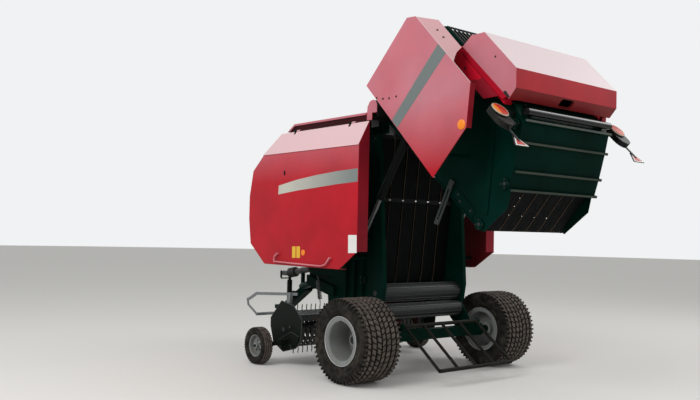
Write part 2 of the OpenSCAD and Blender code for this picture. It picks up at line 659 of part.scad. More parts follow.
module gauge_rim() placed() color("#c8ccd0") translate([0, -gauge_ahead, gauge_r]) turned(gauge_out - gauge_w / 2) polygon([
    [gauge_pin_r + pin_gap, -45], [35, -45], [35, -8], [100, -8], [gauge_rim_r - 12, -40], [gauge_rim_r, -48],
    [gauge_rim_r, 48], [gauge_rim_r - 12, 40], [gauge_rim_r - 12, 0], [35, 8], [35, 45], [gauge_pin_r + pin_gap, 45]
]);
module gauge_rim_left() gauge_rim();
module gauge_rim_right() right_hand() gauge_rim();

// Pickup

pickup_line = [
    [-1354, 723], [-1117, 689], [-941, 546], [-964, 308], [-1050, 215], [-1300, 150], [-1500, 240], [-1564, 420], [-1564, 513]
];
reel_at = [-reel_ahead, reel_z];
pickup_pivot = [-1000, 640];
pickup_pin_r = 12;
reel_bar_r = 120;

module pickup_frame() placed() color("#121413") both_sides() {
    difference() {
        along_x(pickup_x - pickup_t, pickup_x) polygon(pickup_line);
        rod_x(reel_shaft_r + pin_gap, pickup_x - pickup_t - 1, pickup_x + 1, reel_at);
    }
    // Gauge wheel arm and spindle
    along_x(pickup_x, arm_x) translate([-1200, 270]) square([60, 60], center = true);
    beam_yz(arm_x - 15, arm_x, [-1170, 275], [-gauge_ahead, gauge_r], 50);
    along_x(pickup_x, pickup_x + 10) polygon([[-1420, 250], [-1140, 385], [-1060, 350], [-1110, 240]]);
    rod_x(gauge_pin_r, arm_x - 15, gauge_out - 10, [-gauge_ahead, gauge_r]);
    // Hanger on the chassis pin
    difference() {
        along_x(wall_out + 4, wall_out + 16) polygon([[-1035, 595], [-965, 595], [-965, 665], [-1035, 665]]);
        rod_x(pickup_pin_r + pin_gap, wall_out + 3, wall_out + 17, pickup_pivot);
    }
}
arm_x = gauge_out - gauge_w - 10;
reel_shaft_r = 25;
band_w = 44;
band_n = floor((pickup_x - pickup_t - band_w / 2) / tine_pitch);
gauge_pin_r = 15;

module pickup_bands() placed() color("#7c8082") {
    along_x(-pickup_x + pickup_t, pickup_x - pickup_t) translate([-1000, 560]) square([70, 70], center = true);
    for (i = [-band_n:band_n]) along_x(i * tine_pitch - band_w / 2, i * tine_pitch + band_w / 2) difference() {
        union() {
            translate(reel_at) circle(r = band_r);
            polygon([reel_at + [0, band_r], reel_at + [0, band_r - 20], [-1000, 535], [-1000, 585]]);
        }
        translate(reel_at) circle(r = band_r - 6);
    }
}

// Tine bars on discs round a tube; each spring has two tines joined by a coil on its bar
reel_end = pickup_x - pickup_t - run_gap;
tine_line = [
    [reel_bar_r, -12], [232, -12], [tine_r - 4, -36], [tine_r - 7, -44], [230, -20], [reel_bar_r, -20]
];
tine_t = 8;
coil_r = 20;
tine_bar_r = 13;
disc_r = reel_bar_r + 24;
module pickup_reel() placed() color("#5d6062") {
    rod_x(40, -reel_end, reel_end, reel_at);
    rod_x(reel_shaft_r, -pickup_x, pickup_x, reel_at);
    for (x = [-reel_end, -5 * tine_pitch - 5, 5 * tine_pitch - 5, reel_end - 10]) rod_x(disc_r, x, x + 10, reel_at);
    for (a = [20, 110, 200, 290]) translate([0, reel_at[0], reel_at[1]]) rotate([a, 0, 0]) {
        rod_x(tine_bar_r, -reel_end, reel_end, [reel_bar_r, 0]);
        for (i = [-band_n:2:band_n - 2]) {
            rod_x(coil_r, (i + 0.5) * tine_pitch - tine_t / 2, (i + 1.5) * tine_pitch + tine_t / 2, [reel_bar_r, 0]);
            for (k = [0.5, 1.5]) along_x((i + k) * tine_pitch - tine_t / 2, (i + k) * tine_pitch + tine_t / 2)
                polygon(tine_line);
        }
    }
}

module wind_guard() placed() color("#8a8f91") {
    rod_x(18, -1030, 1030, guard_at);
    both_sides() {
        // Arm with its bent front end, and the bracket that holds it on the side plate
        along_x(1012, 1024) polygon([
            [-1100, 800], [-1100, 832], [-1955, 782], [-2120, 704], [-2170, 690], [-2145, 608], guard_at + [-18, -8],
            guard_at + [0, 10], [-2118, 622], [-2137, 664], [-2090, 680], [-1950, 747]
        ]);
        along_x(1012, pickup_x - pickup_t) polygon([[-1290, 640], [-1220, 640], [-1190, 820], [-1240, 820]]);
    }
    for (i = [-5:5]) bar(5, [i * guard_pitch, guard_at[0], guard_at[1]], [i * guard_pitch, -1610, 560]);
}
guard_at = [-1930, 517];
guard_pitch = 180;

module bale_ramp() placed() color("#1c1e1f") difference() {
    union() {
        rod_x(20, -570, 570, ramp_at);
        rod_x(20, -550, 550, ramp_end);
        for (x = [-550:275:550]) bar(16, [x, ramp_at[0], ramp_at[1]], [x, ramp_end[0], ramp_end[1]]);
    }
    both_sides() rod_x(12 + pin_gap, 509, 571, ramp_at);
}
ramp_end = [690, 170];

side_wall_left();
side_wall_right();
axle();
drawbar();
jack();
gearbox();
driveline();
cross_frame();
front_shield_left();
front_shield_right();
hood();
front_belts();
front_rollers();
starter_roller();
floor_roller();
feed_rotor();
gate_wall_left();
gate_wall_right();
gate_rear_wall();
bumper_bar();
gate_shield_left();
gate_shield_right();
gate_top_grille();
gate_belts();
gate_rollers();
net_box_base();
net_lid();
lamp_left();
lamp_right();
latch_left();
latch_right();
cylinder_left();
cylinder_right();
rod_left();
rod_right();
tyre_left();
tyre_right();
rim_left();
rim_right();
gauge_tyre_left();
gauge_tyre_right();
gauge_rim_left();
gauge_rim_right();
pickup_frame();
pickup_bands();
pickup_reel();
wind_guard();
bale_ramp();
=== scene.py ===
import json
import math
import random
import bpy
import bmesh
from mathutils import Matrix, Vector


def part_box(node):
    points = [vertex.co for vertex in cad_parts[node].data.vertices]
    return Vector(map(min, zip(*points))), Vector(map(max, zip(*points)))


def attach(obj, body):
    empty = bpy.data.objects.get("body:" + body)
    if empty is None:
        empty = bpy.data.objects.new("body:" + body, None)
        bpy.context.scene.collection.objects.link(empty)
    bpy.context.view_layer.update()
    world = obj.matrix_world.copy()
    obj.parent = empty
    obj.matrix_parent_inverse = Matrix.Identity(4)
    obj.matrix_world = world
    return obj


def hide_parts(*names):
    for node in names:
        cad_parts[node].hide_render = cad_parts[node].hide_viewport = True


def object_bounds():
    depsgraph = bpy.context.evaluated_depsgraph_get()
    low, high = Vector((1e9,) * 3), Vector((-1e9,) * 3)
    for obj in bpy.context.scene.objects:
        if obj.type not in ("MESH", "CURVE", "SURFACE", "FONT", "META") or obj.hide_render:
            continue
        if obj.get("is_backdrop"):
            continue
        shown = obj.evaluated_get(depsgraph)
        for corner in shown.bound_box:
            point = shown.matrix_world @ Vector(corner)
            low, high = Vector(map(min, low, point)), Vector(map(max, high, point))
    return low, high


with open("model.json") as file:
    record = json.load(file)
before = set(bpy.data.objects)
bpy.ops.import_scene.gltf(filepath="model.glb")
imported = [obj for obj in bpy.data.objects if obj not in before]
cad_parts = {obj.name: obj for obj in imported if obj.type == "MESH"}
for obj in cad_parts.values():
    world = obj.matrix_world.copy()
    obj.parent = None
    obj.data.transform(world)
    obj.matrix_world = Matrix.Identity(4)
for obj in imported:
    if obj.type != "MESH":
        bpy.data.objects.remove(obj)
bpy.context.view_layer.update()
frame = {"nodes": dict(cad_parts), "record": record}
nodes = frame["nodes"]
scene = bpy.context.scene
scene.view_settings.view_transform = "Standard"
print("frame loaded:", len(nodes), "nodes")

# Drawn in millimetres with y = 0 at the axle, then moved to the frame's metres
axleY = (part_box("tyre_left")[0].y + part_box("tyre_left")[1].y) / 2
gate = dict(pivotY=-108, pivotZ=2723, raised=45)
toFrame = Matrix.Translation((0, axleY, 0)) @ Matrix.Scale(0.001, 4)
gatePivot = Matrix.Translation((0, gate["pivotY"], gate["pivotZ"]))
swing = gatePivot @ Matrix.Rotation(math.radians(gate["raised"]), 4, "X") @ gatePivot.inverted()
rightHand = Matrix.Scale(-1, 4, (1, 0, 0))

# Camera at the photograph's place, in metres from the axle, with its focal length in pixels
shot = dict(at=(6.218, 6.146, 1.518), yaw=230.65, pitch=2.449, roll=1.214, focal=780.95, width=700,
            sensor=36, farthest=200)


def aimCamera():
    yaw, pitch, roll = (math.radians(shot[k]) for k in ("yaw", "pitch", "roll"))
    ahead = Vector((math.cos(yaw) * math.cos(pitch), math.sin(yaw) * math.cos(pitch), math.sin(pitch)))
    side = ahead.cross(Vector((0, 0, 1))).normalized()
    top = side.cross(ahead)
    across = side * math.cos(roll) + top * math.sin(roll)
    over = -side * math.sin(roll) + top * math.cos(roll)
    camera = bpy.data.objects.new("camera", bpy.data.cameras.new("camera"))
    scene.collection.objects.link(camera)
    camera.data.sensor_width = shot["sensor"]
    camera.data.lens = shot["focal"] * shot["sensor"] / shot["width"]
    camera.data.clip_end = shot["farthest"]
    place = Matrix((across, over, -ahead)).transposed().to_4x4()
    place.translation = Vector(shot["at"]) + Vector((0, axleY, 0))
    camera.matrix_world = place
    scene.camera = camera


aimCamera()
print("camera set")


def toLinear(hexColour):
    parts = [int(hexColour[i:i + 2], 16) / 255 for i in (1, 3, 5)]
    return [c / 12.92 if c <= 0.04045 else ((c + 0.055) / 1.055) ** 2.4 for c in parts] + [1]


# Sets a node's inputs: a node or a socket is linked, and a hex colour is turned to linear
def connect(node, inputs):
    for key, value in inputs.items():
        if isinstance(value, bpy.types.Node):
            value = next(socket for socket in value.outputs if socket.enabled)
        if isinstance(value, bpy.types.NodeSocket):
            node.id_data.links.new(value, node.inputs[key])
        else:
            node.inputs[key].default_value = toLinear(value) if isinstance(value, str) else value


def addNode(tree, kind, inputs=None, **settings):
    node = tree.nodes.new("ShaderNode" + kind)
    for key, value in settings.items():
        setattr(node, key, value)
    connect(node, inputs or {})
    return node


# Lays one colour over another where a value runs from low to high, up to a share of most
def layOver(tree, under, over, value, low, high, most=1.0):
    share = addNode(tree, "MapRange", {"Value": value, "From Min": low, "From Max": high, "To Max": most})
    return addNode(tree, "Mix", {0: share, 6: under, 7: over}, data_type="RGBA")


# Thins a mask by a value that runs from low to high, from a share of least to one of most
def thinOut(tree, mask, value, low, high, least=0.0, most=1.0):
    share = addNode(tree, "MapRange", {"Value": value, "From Min": low, "From Max": high, "To Min": least,
                                       "To Max": most})
    return addNode(tree, "Math", {0: mask, 1: share}, operation="MULTIPLY")


def perMetre(size):
    return 1000 / size  # pattern scale whose features are this many millimetres


# A broad key from high on the photograph's left, a low fill behind the camera, a rim light from the far side.
# Each lamp: name, place in metres, power in watts, size in metres
studio = dict(sky="#f1f2f3", floor="#dddcd8", skyGlow=0.55, floorSize=120, aim=(0, 0.3, 1.4),
              lamps=(("key", (9, 1.5, 8), 640, 6), ("fill", (4, 10, 3.5), 90, 6),
                     ("rim", (-7, 4, 7), 260, 5)))


def buildStudio():
    world = bpy.data.worlds.new("studio")
    scene.world = world
    world.use_nodes = True
    tree = world.node_tree
    tree.nodes.clear()
    path = addNode(tree, "LightPath").outputs
    seen = addNode(tree, "Math", {0: path["Is Camera Ray"], 1: path["Is Transmission Ray"]},
                   operation="MAXIMUM")
    seen = addNode(tree, "Math", {0: seen, 1: path["Is Glossy Ray"]}, operation="MAXIMUM")
    glow = addNode(tree, "Background", {"Color": (1, 1, 1, 1), "Strength": studio["skyGlow"]})
    back = addNode(tree, "Background", {"Color": studio["sky"], "Strength": 1.0})
    addNode(tree, "OutputWorld", {"Surface": addNode(tree, "MixShader", {0: seen, 1: glow, 2: back})})
    disc = bmesh.new()
    bmesh.ops.create_circle(disc, cap_ends=True, radius=studio["floorSize"] / 2 * 1000, segments=64)
    floor = newPiece("floor", disc)
    floor.matrix_world = toFrame
    floor.data.materials.append(newMaterial("matt studio vinyl", studio["floor"], 0.9)[0])
    floor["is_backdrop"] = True
    for name, place, power, size in studio["lamps"]:
        lamp = bpy.data.objects.new(name, bpy.data.lights.new(name, "AREA"))
        scene.collection.objects.link(lamp)
        lamp.data.energy = power
        lamp.data.shape = "DISK"
        lamp.data.size = size
        lamp.location = place
        lamp.rotation_mode = "QUATERNION"
        lamp.rotation_quaternion = (Vector(studio["aim"]) - Vector(place)).to_track_quat("-Z", "Y")


def newMaterial(name, colour, roughness=0.5, metallic=0.0, **shader):
    material = bpy.data.materials.new(name)
    material.use_nodes = True
    surface = material.node_tree.nodes["Principled BSDF"]
    connect(surface, {"Base Color": colour, "Roughness": roughness, "Metallic": metallic})
    connect(surface, {key.replace("_", " "): value for key, value in shader.items()})
    return material, material.node_tree, surface


# Sprayed enamel on steel: even colour, a thin gloss, field dust that thickens towards the ground
def sprayPaint(name, colour, deep, dust="#6f6554", roughness=0.42, dusty=0.3, dustTop=1.6, sheen=0.3,
               paintedLight=None):
    material, tree, surface = newMaterial(name, colour, roughness, Specular_IOR_Level=sheen)
    spot = addNode(tree, "TexCoord").outputs
    place = addNode(tree, "SeparateXYZ", {"Vector": spot["Object"]}).outputs
    broad, cloud, peel = (
        addNode(tree, "TexNoise", {"Vector": spot["Object"], "Scale": perMetre(size), "Detail": detail})
        for size, detail in ((420, 3), (90, 6), (14, 2)))
    body = layOver(tree, colour, deep, broad, 0.35, 0.65)
    if paintedLight:  # painted highlight: a pale painted reflection of the sky on outer faces high up, strongest on those that look up
        facing = addNode(tree, "SeparateXYZ", {"Vector": spot["Normal"]}).outputs
        side = addNode(tree, "Math", {0: place["X"]}, operation="SIGN")
        outward = addNode(tree, "Math", {0: side, 1: facing["X"]}, operation="MULTIPLY")
        glare = addNode(tree, "MapRange", {"Value": place["Z"], "From Min": paintedLight["low"],
                                           "From Max": paintedLight["high"], "To Max": paintedLight["share"]})
        patchy = addNode(tree, "TexNoise", {"Vector": spot["Object"], "Scale": perMetre(600), "Detail": 3})
        glare = thinOut(tree, glare, outward, 0.75, 0.95)
        glare = thinOut(tree, glare, patchy, 0.3, 0.7, 0.8, 1.1)
        body = addNode(tree, "Mix", {0: glare, 6: body, 7: paintedLight["side"]}, data_type="RGBA")
        # painted highlight on faces that look up, painted shade on inward faces and on faces that look down
        for value, low, high, most, tone in ((facing["Z"], 0.25, 0.6, paintedLight["top"], paintedLight["colour"]),
                                             (outward, -0.75, -0.95, 0.75, paintedLight["inside"]),
                                             (facing["Z"], -0.25, -0.6, 0.55, paintedLight["below"])):
            body = layOver(tree, body, tone, value, low, high, most)
    low = addNode(tree, "MapRange", {"Value": place["Z"], "From Min": dustTop, "From Max": 0.1,
                                     "To Max": dusty})
    film = thinOut(tree, low, cloud, 0.3, 0.75, 0.2)
    connect(surface, {
        "Base Color": addNode(tree, "Mix", {0: film, 6: body, 7: dust}, data_type="RGBA"),
        "Roughness": addNode(tree, "MapRange", {"Value": film, "From Max": 0.5, "To Min": roughness,
                                                "To Max": 0.85}),
        # orange peel, drawn coarser than its 3 mm
        "Normal": addNode(tree, "Bump", {"Height": peel, "Distance": 0.25 / 1000, "Strength": 0.25})})
    return material


# Moulded rubber with dried mud: matt, and greyer on the faces that the ground rubs
def rubber(name, hub, reach, colour="#0e0f0e", dust="#565048", worn="#6e645e"):
    material, tree, surface = newMaterial(name, colour, 0.78, Specular_IOR_Level=0.08)
    spot = addNode(tree, "TexCoord").outputs["Object"]
    cloud, broad, rubbed, grain = (
        addNode(tree, "TexNoise", {"Vector": spot, "Scale": perMetre(size), "Detail": detail})
        for size, detail in ((60, 6), (340, 2), (45, 4), (26, 5)))
    film = thinOut(tree, broad, cloud, 0.35, 0.7, 0.1)
    body = layOver(tree, colour, dust, film, 0, 0.6, 0.4)
    flat = addNode(tree, "Mapping", {"Vector": spot, "Scale": (0, 1, 1)})
    wheel = addNode(tree, "VectorMath", {0: flat, 1: (0, axleY + hub[0] / 1000, hub[1] / 1000)},
                    operation="DISTANCE")
    tops = addNode(tree, "MapRange", {"Value": wheel, "From Min": reach[0] / 1000,
                                      "From Max": reach[1] / 1000})
    tops = thinOut(tree, tops, rubbed, 0.3, 0.65, 0.2, 0.8)
    connect(surface, {
        "Base Color": addNode(tree, "Mix", {0: tops, 6: body, 7: worn}, data_type="RGBA"),
        "Normal": addNode(tree, "Bump", {"Height": grain, "Distance": 1.2 / 1000, "Strength": 0.5})})
    return material


# Steel rubbed by crop: metal with fine scratches round a roller, and blotches of stain
def wornMetal(name, colour, stain="#4c4037", roughness=0.38, stretch=(6, 1, 1), metallic=0.9, stained=0.5):
    material, tree, surface = newMaterial(name, colour, roughness, metallic)
    spot = addNode(tree, "TexCoord").outputs["Object"]
    grain = addNode(tree, "Mapping", {"Vector": spot, "Scale": stretch})
    scratch = addNode(tree, "TexNoise", {"Vector": grain, "Scale": perMetre(20), "Detail": 6})
    blotch = addNode(tree, "TexNoise", {"Vector": spot, "Scale": perMetre(130), "Detail": 5})
    connect(surface, {
        "Base Color": layOver(tree, colour, stain, blotch, 0.45, 0.75, stained),
        "Roughness": addNode(tree, "MapRange", {"Value": scratch, "From Min": 0.3, "From Max": 0.7,
                                                "To Min": roughness - 0.08, "To Max": roughness + 0.2}),
        "Normal": addNode(tree, "Bump", {"Height": scratch, "Distance": 0.4 / 1000, "Strength": 0.3})})
    return material


# Moulded plastic: even colour, fine pebble
def plastic(name, colour, roughness=0.42, grain=9, paintedReflection=None, **shader):
    material, tree, surface = newMaterial(name, colour, roughness, **shader)
    spot = addNode(tree, "TexCoord").outputs["Object"]
    cloud, pebble = (addNode(tree, "TexNoise", {"Vector": spot, "Scale": perMetre(size), "Detail": detail})
                     for size, detail in ((160, 3), (grain, 2)))
    body = layOver(tree, colour, "#6f695f", cloud, 0.3, 0.7, 0.08)  # a trace of dust
    if paintedReflection:  # a painted reflection: another tone between two places along the machine, in metres from the axle
        along = addNode(tree, "SeparateXYZ", {"Vector": spot}).outputs["Y"]
        body = layOver(tree, body, paintedReflection[0], along, axleY + paintedReflection[1], axleY + paintedReflection[2])
    connect(surface, {
        "Base Color": body,
        "Normal": addNode(tree, "Bump", {"Height": pebble, "Distance": 0.2 / 1000, "Strength": 0.3})})
    return material


# Reinforced belt: rough rubber, polished in streaks along its run by straw, pale at its edges as painted
# light seen through the gaps between belts
def beltRubber(name, colour="#060908", polish="#161a16", gapLight="#6e5c52"):
    material, tree, surface = newMaterial(name, colour, 0.7, Specular_IOR_Level=0.04)
    spot = addNode(tree, "TexCoord").outputs
    run = addNode(tree, "Mapping", {"Vector": spot["Object"], "Scale": (1, 0.08, 0.08)})
    streak = addNode(tree, "TexNoise", {"Vector": run, "Scale": perMetre(9), "Detail": 6})
    top = layOver(tree, colour, polish, streak, 0.42, 0.68, 0.3)
    facing = addNode(tree, "SeparateXYZ", {"Vector": spot["Normal"]}).outputs["X"]
    edge = addNode(tree, "Math", {0: facing}, operation="ABSOLUTE")
    connect(surface, {
        # faces that look sideways take the pale tone, as painted light from the gaps between belts
        "Base Color": layOver(tree, top, gapLight, edge, 0.8, 0.95, 0.8),
        "Roughness": addNode(tree, "MapRange", {"Value": streak, "From Min": 0.4, "From Max": 0.7,
                                                "To Min": 0.75, "To Max": 0.5}),
        "Normal": addNode(tree, "Bump", {"Height": streak, "Distance": 0.8 / 1000, "Strength": 0.4})})
    return material


# Painted light on red enamel: a pale painted reflection of the sky that sets in between two heights, in
# metres above the ground, and painted shade on inward and downward faces
redPaintedLight = dict(colour="#e6d6d9", side="#c9abb8", inside="#1a1110", below="#4a2824", share=0.38, top=0.95,
                low=2.1, high=2.8)
finish = {
    "redPaint": sprayPaint("red enamel on pressed steel", "#b00d20", "#a00a1b", dusty=0.1, sheen=0.18,
                           paintedLight=redPaintedLight),
    # painted light: the same red with a weaker painted sky reflection on faces that look up, for the hood and
    # the tailgate's bevels
    "lessGlareRed": sprayPaint("red enamel on the tailgate's bevels", "#b00d20", "#a00a1b", dusty=0.1, sheen=0.18,
                           paintedLight=dict(redPaintedLight, top=0.5)),
    # painted light: a brighter copy of the red, to offset the shade on the net box's base plate
    "brightenedBoxRed": sprayPaint("red enamel of the net box", "#c8132b", "#b81026", dusty=0.1, sheen=0.1),
    "flangeRed": sprayPaint("red enamel on the lid's flange", "#a81026", "#990c20", dusty=0.1, sheen=0.1),
    # painted shade: a darker copy of the red for folds, end plates, the lid's inside and a patch on the box
    "edgeRed": sprayPaint("red enamel on folded edges", "#8a1a28", "#781622", dusty=0.1, sheen=0.1),
    # painted highlight: a pale pink copy of the red stands in for the gloss on the grab rail
    "highlitTubeRed": sprayPaint("pale red enamel on bent tube as painted highlight", "#cf7f86", "#c06c74", dusty=0.1, sheen=0.2),
    "greenPaint": sprayPaint("dark green enamel on welded steel", "#01211a", "#011913", dust="#3d423a",
                             dusty=0.06, sheen=0.02),
    "blackPaint": sprayPaint("black enamel on steel", "#0a0d0c", "#070908", dusty=0.1, sheen=0.05),
    "plateBlack": sprayPaint("black enamel on pressed plate", "#0a1411", "#070e0c", dusty=0.04, sheen=0.06),
    "edgeHighlightGrey": sprayPaint("grey enamel on plate edges as painted highlight", "#3a413e", "#2e3432", dusty=0.1, sheen=0.2),
    "maroonPaint": sprayPaint("dark red enamel on cast steel", "#3a0a0f", "#2c080c", dusty=0.2, sheen=0.06),
    # painted shade: the silver is darkened for the rim dish in the tyre's shade
    "silverPaint": sprayPaint("silver wheel enamel", "#7c8182", "#6a6f70", roughness=0.45, dusty=0.5),
    "greyPaint": sprayPaint("grey enamel on steel", "#6d7173", "#5f6365", dusty=0.15),
    # painted highlight: a paler green for the tops of the ribs and slats
    "ribHighlight": sprayPaint("pale green enamel as painted highlight, with chaff dust", "#3f443c", "#343a33", dusty=0.1,
                           sheen=0.1),
    "glossBlack": sprayPaint("gloss black enamel on round tube", "#060707", "#050606", dusty=0.04,
                             roughness=0.2, sheen=0.25),
    "latchPaint": sprayPaint("dark grey enamel on flat bar", "#2a302e", "#222826", dusty=0.1, sheen=0.15),
    "tyreRubber": rubber("tyre rubber with dried mud", (0, 433), (420, 428)),
    "gaugeRubber": rubber("implement tyre rubber with dried mud", (-1500, 210), (203, 208)),
    "beltRubber": beltRubber("ribbed belt rubber"),
    "wornSteel": wornMetal("worn roller steel", "#303635", metallic=0.5),
    "darkSteel": wornMetal("mill steel", "#111516", "#0e0d0a", 0.55, metallic=0.2),
    "springSteel": wornMetal("spring steel wire", "#4d4f50", "#3a2e24", 0.42),
    "chromeRod": wornMetal("dusty chromed rod", "#6a6f70", "#5c5750", 0.3, (1, 1, 1), 0.9, 0.3),
    # painted highlight: pale steel for the glints on the rim edges and the lacing pins
    "glintSteel": wornMetal("bright steel wire", "#c4c7c8", "#9a948a", 0.3, (1, 1, 1), 0.8, 0.1),
    "blackPlastic": plastic("black polypropylene", "#080a0a", Specular_IOR_Level=0.15),
    "shaftGuard": plastic("driveline guard polyethylene", "#151617", 0.5),
    "amberLens": plastic("amber acrylic lens", "#e8821c", 0.3, 4, Specular_IOR_Level=0.25),
    "redLens": plastic("red acrylic lens", "#c0301e", 0.35, 4, Specular_IOR_Level=0.15),
    "paleRim": plastic("yellowed polycarbonate rim", "#b3a592", 0.4, 5),
    "whiteVinyl": plastic("white vinyl sheet", "#dededb", 0.4, 5),
    # painted reflection: the film fades from pale to dark along the machine
    "silverFilm": plastic("silver striping film", "#b9b6ab", 0.4, 5, paintedReflection=("#6f7775", -1.3, -0.1)),
    "greyFilm": plastic("grey striping film", "#5f6968", 0.42, 5),
    "yellowVinyl": plastic("yellow vinyl sheet", "#dcae1c", 0.4, 5),
}
print("materials made:", len(finish))


def newPiece(name, mesh):
    data = bpy.data.meshes.new(name)
    mesh.to_mesh(data)
    mesh.free()
    piece = bpy.data.objects.new(name, data)
    scene.collection.objects.link(piece)
    return piece


buildStudio()
print("studio built")

nodeFinish = {
    "side_wall": "greenPaint", "axle": "greenPaint", "drawbar": "greenPaint", "jack": "blackPaint",
    "gearbox": "maroonPaint", "driveline": "shaftGuard", "cross_frame": "greenPaint",
    "front_shield": "redPaint", "hood": "lessGlareRed", "front_belts": "beltRubber", "front_rollers": "darkSteel",
    "starter_roller": "darkSteel", "floor_roller": "darkSteel", "feed_rotor": "maroonPaint",
    "gate_wall": "greenPaint", "gate_rear_wall": "greenPaint", "gate_shield": "redPaint",
    "gate_top_grille": "blackPaint", "gate_belts": "beltRubber", "bumper_bar": "glossBlack",
    "gate_rollers": "darkSteel", "net_box_base": "brightenedBoxRed", "net_lid": "redPaint", "lamp": "blackPlastic",
    "latch": "latchPaint", "cylinder": "blackPaint", "rod": "chromeRod", "tyre": "tyreRubber",
    "rim": "silverPaint", "gauge_tyre": "gaugeRubber", "gauge_rim": "silverPaint",
    "pickup_frame": "plateBlack", "pickup_bands": "wornSteel", "pickup_reel": "springSteel",
    "wind_guard": "greyPaint", "bale_ramp": "blackPaint",
}
for name, node in nodes.items():
    plain = name.removesuffix("_left").removesuffix("_right")
    for held in node.material_slots:
        held.link = "OBJECT"
        held.material = finish[nodeFinish[plain]]
print("nodes dressed")

# Which body carries each node, and which bodies stand raised
carrier = {node: body for body, held in frame["record"]["behaviour"]["bodies"].items() for node in held}
raisedBodies = (carrier["gate_rear_wall"], carrier["net_lid"])


# Moves a mesh from the shut machine in millimetres to its place, and gives it to the body that carries
# a node. What rides the tailgate swings up with it, and a piece named for the right is the left mirrored
def settle(name, mesh, material, on, bevel=0, instead=()):
    place = toFrame @ swing if carrier[on] in raisedBodies else toFrame
    if name.endswith("_right"):
        place = place @ rightHand
    bmesh.ops.transform(mesh, matrix=place, verts=mesh.verts)
    bmesh.ops.recalc_face_normals(mesh, faces=mesh.faces)
    piece = newPiece(name, mesh)
    piece.data.materials.append(finish[material])
    piece.data.shade_smooth()
    piece.data.set_sharp_from_angle(angle=math.radians(35))
    if bevel:
        edges = piece.modifiers.new("edges", "BEVEL")
        edges.width = bevel / 1000
        edges.segments = 2
        edges.harden_normals = True
    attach(piece, carrier[on])
    if instead:
        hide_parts(*instead)
    return piece


# Sides from ring to ring, each ring of as many corners
def addSides(mesh, rings):
    for first, second in zip(rings, rings[1:]):
        for i in range(len(first)):
            j = (i + 1) % len(first)
            mesh.faces.new((first[i], first[j], second[j], second[i]))


axisOrder = {"X": (2, 0, 1), "Y": (0, 2, 1), "Z": (0, 1, 2)}  # where x, y and z are in (first, second, along)


# A plate between two heights along one axis; its outline is drawn in the other two
def addPlate(mesh, outline, low, high, axis="X"):
    rings = []
    for level in (low, high):
        points = [(a, b, level) for a, b in outline]
        rings.append([mesh.verts.new([point[i] for i in axisOrder[axis]]) for point in points])
    mesh.faces.new(rings[0])
    mesh.faces.new(rings[1])
    addSides(mesh, rings)


# A flat sheet through the corners, with its thickness behind the side from which they run anticlockwise
def addSheet(mesh, corners, thick):
    corners = [Vector(c) for c in corners]
    behind = (corners[1] - corners[0]).cross(corners[2] - corners[0]).normalized() * -thick
    rings = [[mesh.verts.new(c) for c in corners], [mesh.verts.new(c + behind) for c in corners]]
    mesh.faces.new(rings[0])
    mesh.faces.new(rings[1])
    addSides(mesh, rings)


# The fold of a side panel inwards along one edge of its outline
def addFold(mesh, first, last, near, far, thick=5):
    addSheet(mesh, ((near, *first), (near, *last), (far, *last), (far, *first)), -thick)


def evenTurns(count, first=0.0):
    return [first + 2 * math.pi * k / count for k in range(count)]


def roundPoints(centre, radius, turns):
    return [(centre[0] + radius * math.cos(turn), centre[1] + radius * math.sin(turn)) for turn in turns]


# A closed section of (radius, distance along the axis) turned round an axis through a point
def addTurned(mesh, section, at, axis="X", steps=48):
    rings = []
    for radius, along in section:
        ring = []
        for turn in evenTurns(steps if radius > 0 else 1):
            point = (radius * math.cos(turn), radius * math.sin(turn), along)
            ring.append(mesh.verts.new([point[k] + at[n] for n, k in enumerate(axisOrder[axis])]))
        rings.append(ring)
    for first, second in zip(rings, rings[1:] + rings[:1]):
        for i in range(steps):
            j = (i + 1) % steps
            corners = [first[i % len(first)], first[j % len(first)],
                       second[j % len(second)], second[i % len(second)]]
            corners = list(dict.fromkeys(corners))
            if len(corners) > 2:
                mesh.faces.new(corners)


# A round rod or wire through points, closed at its ends
def addWire(mesh, points, radius, sides=8):
    points = [Vector(p) for p in points]
    side = (points[1] - points[0]).orthogonal().normalized()
    rings = []
    for i, point in enumerate(points):
        before = (point - points[i - 1]).normalized() if i else (points[1] - point).normalized()
        after = (points[i + 1] - point).normalized() if i < len(points) - 1 else before
        ahead = (before + after).normalized()
        side = (side - ahead * side.dot(ahead)).normalized()
        up = ahead.cross(side)
        wide = 1 / max(0.5, ahead.dot(before))
        rings.append([mesh.verts.new(point + (side * math.cos(t) + up * math.sin(t)) * radius * wide)
                      for t in evenTurns(sides)])
    mesh.faces.new(rings[0])
    mesh.faces.new(rings[-1])
    addSides(mesh, rings)


# Hexagon bolt heads on washers, each turned by chance, on a face across one axis
# A bolt is (across its flats, tall)
def addBolts(mesh, places, face, across, tall, axis="X"):
    for place in places:
        twist = random.random()
        washer, head = (across * 0.66, 0, tall * 0.25, 16), (across / 2, tall * 0.2, tall, 6)
        for reach, low, high, corners in (washer, head):
            outline = roundPoints(place, reach, evenTurns(corners, twist))
            addPlate(mesh, outline, face + low, face + high, axis)


def roundedOutline(centre, width, height, radius, steps=5):
    outline = []
    for k, (sx, sy) in enumerate(((1, 1), (-1, 1), (-1, -1), (1, -1))):
        corner = (centre[0] + sx * (width / 2 - radius), centre[1] + sy * (height / 2 - radius))
        outline += roundPoints(corner, radius, [math.pi / 2 * (k + i / steps) for i in range(steps + 1)])
    return outline


# A shallow lens on a side face
def addLens(mesh, radius, face, at, dome, steps):
    addTurned(mesh, [(radius, face - 1), (radius, face + dome), (radius - dome, face + dome + 4),
                     (0, face + dome + 5), (0, face - 1)], (0, *at), steps=steps)


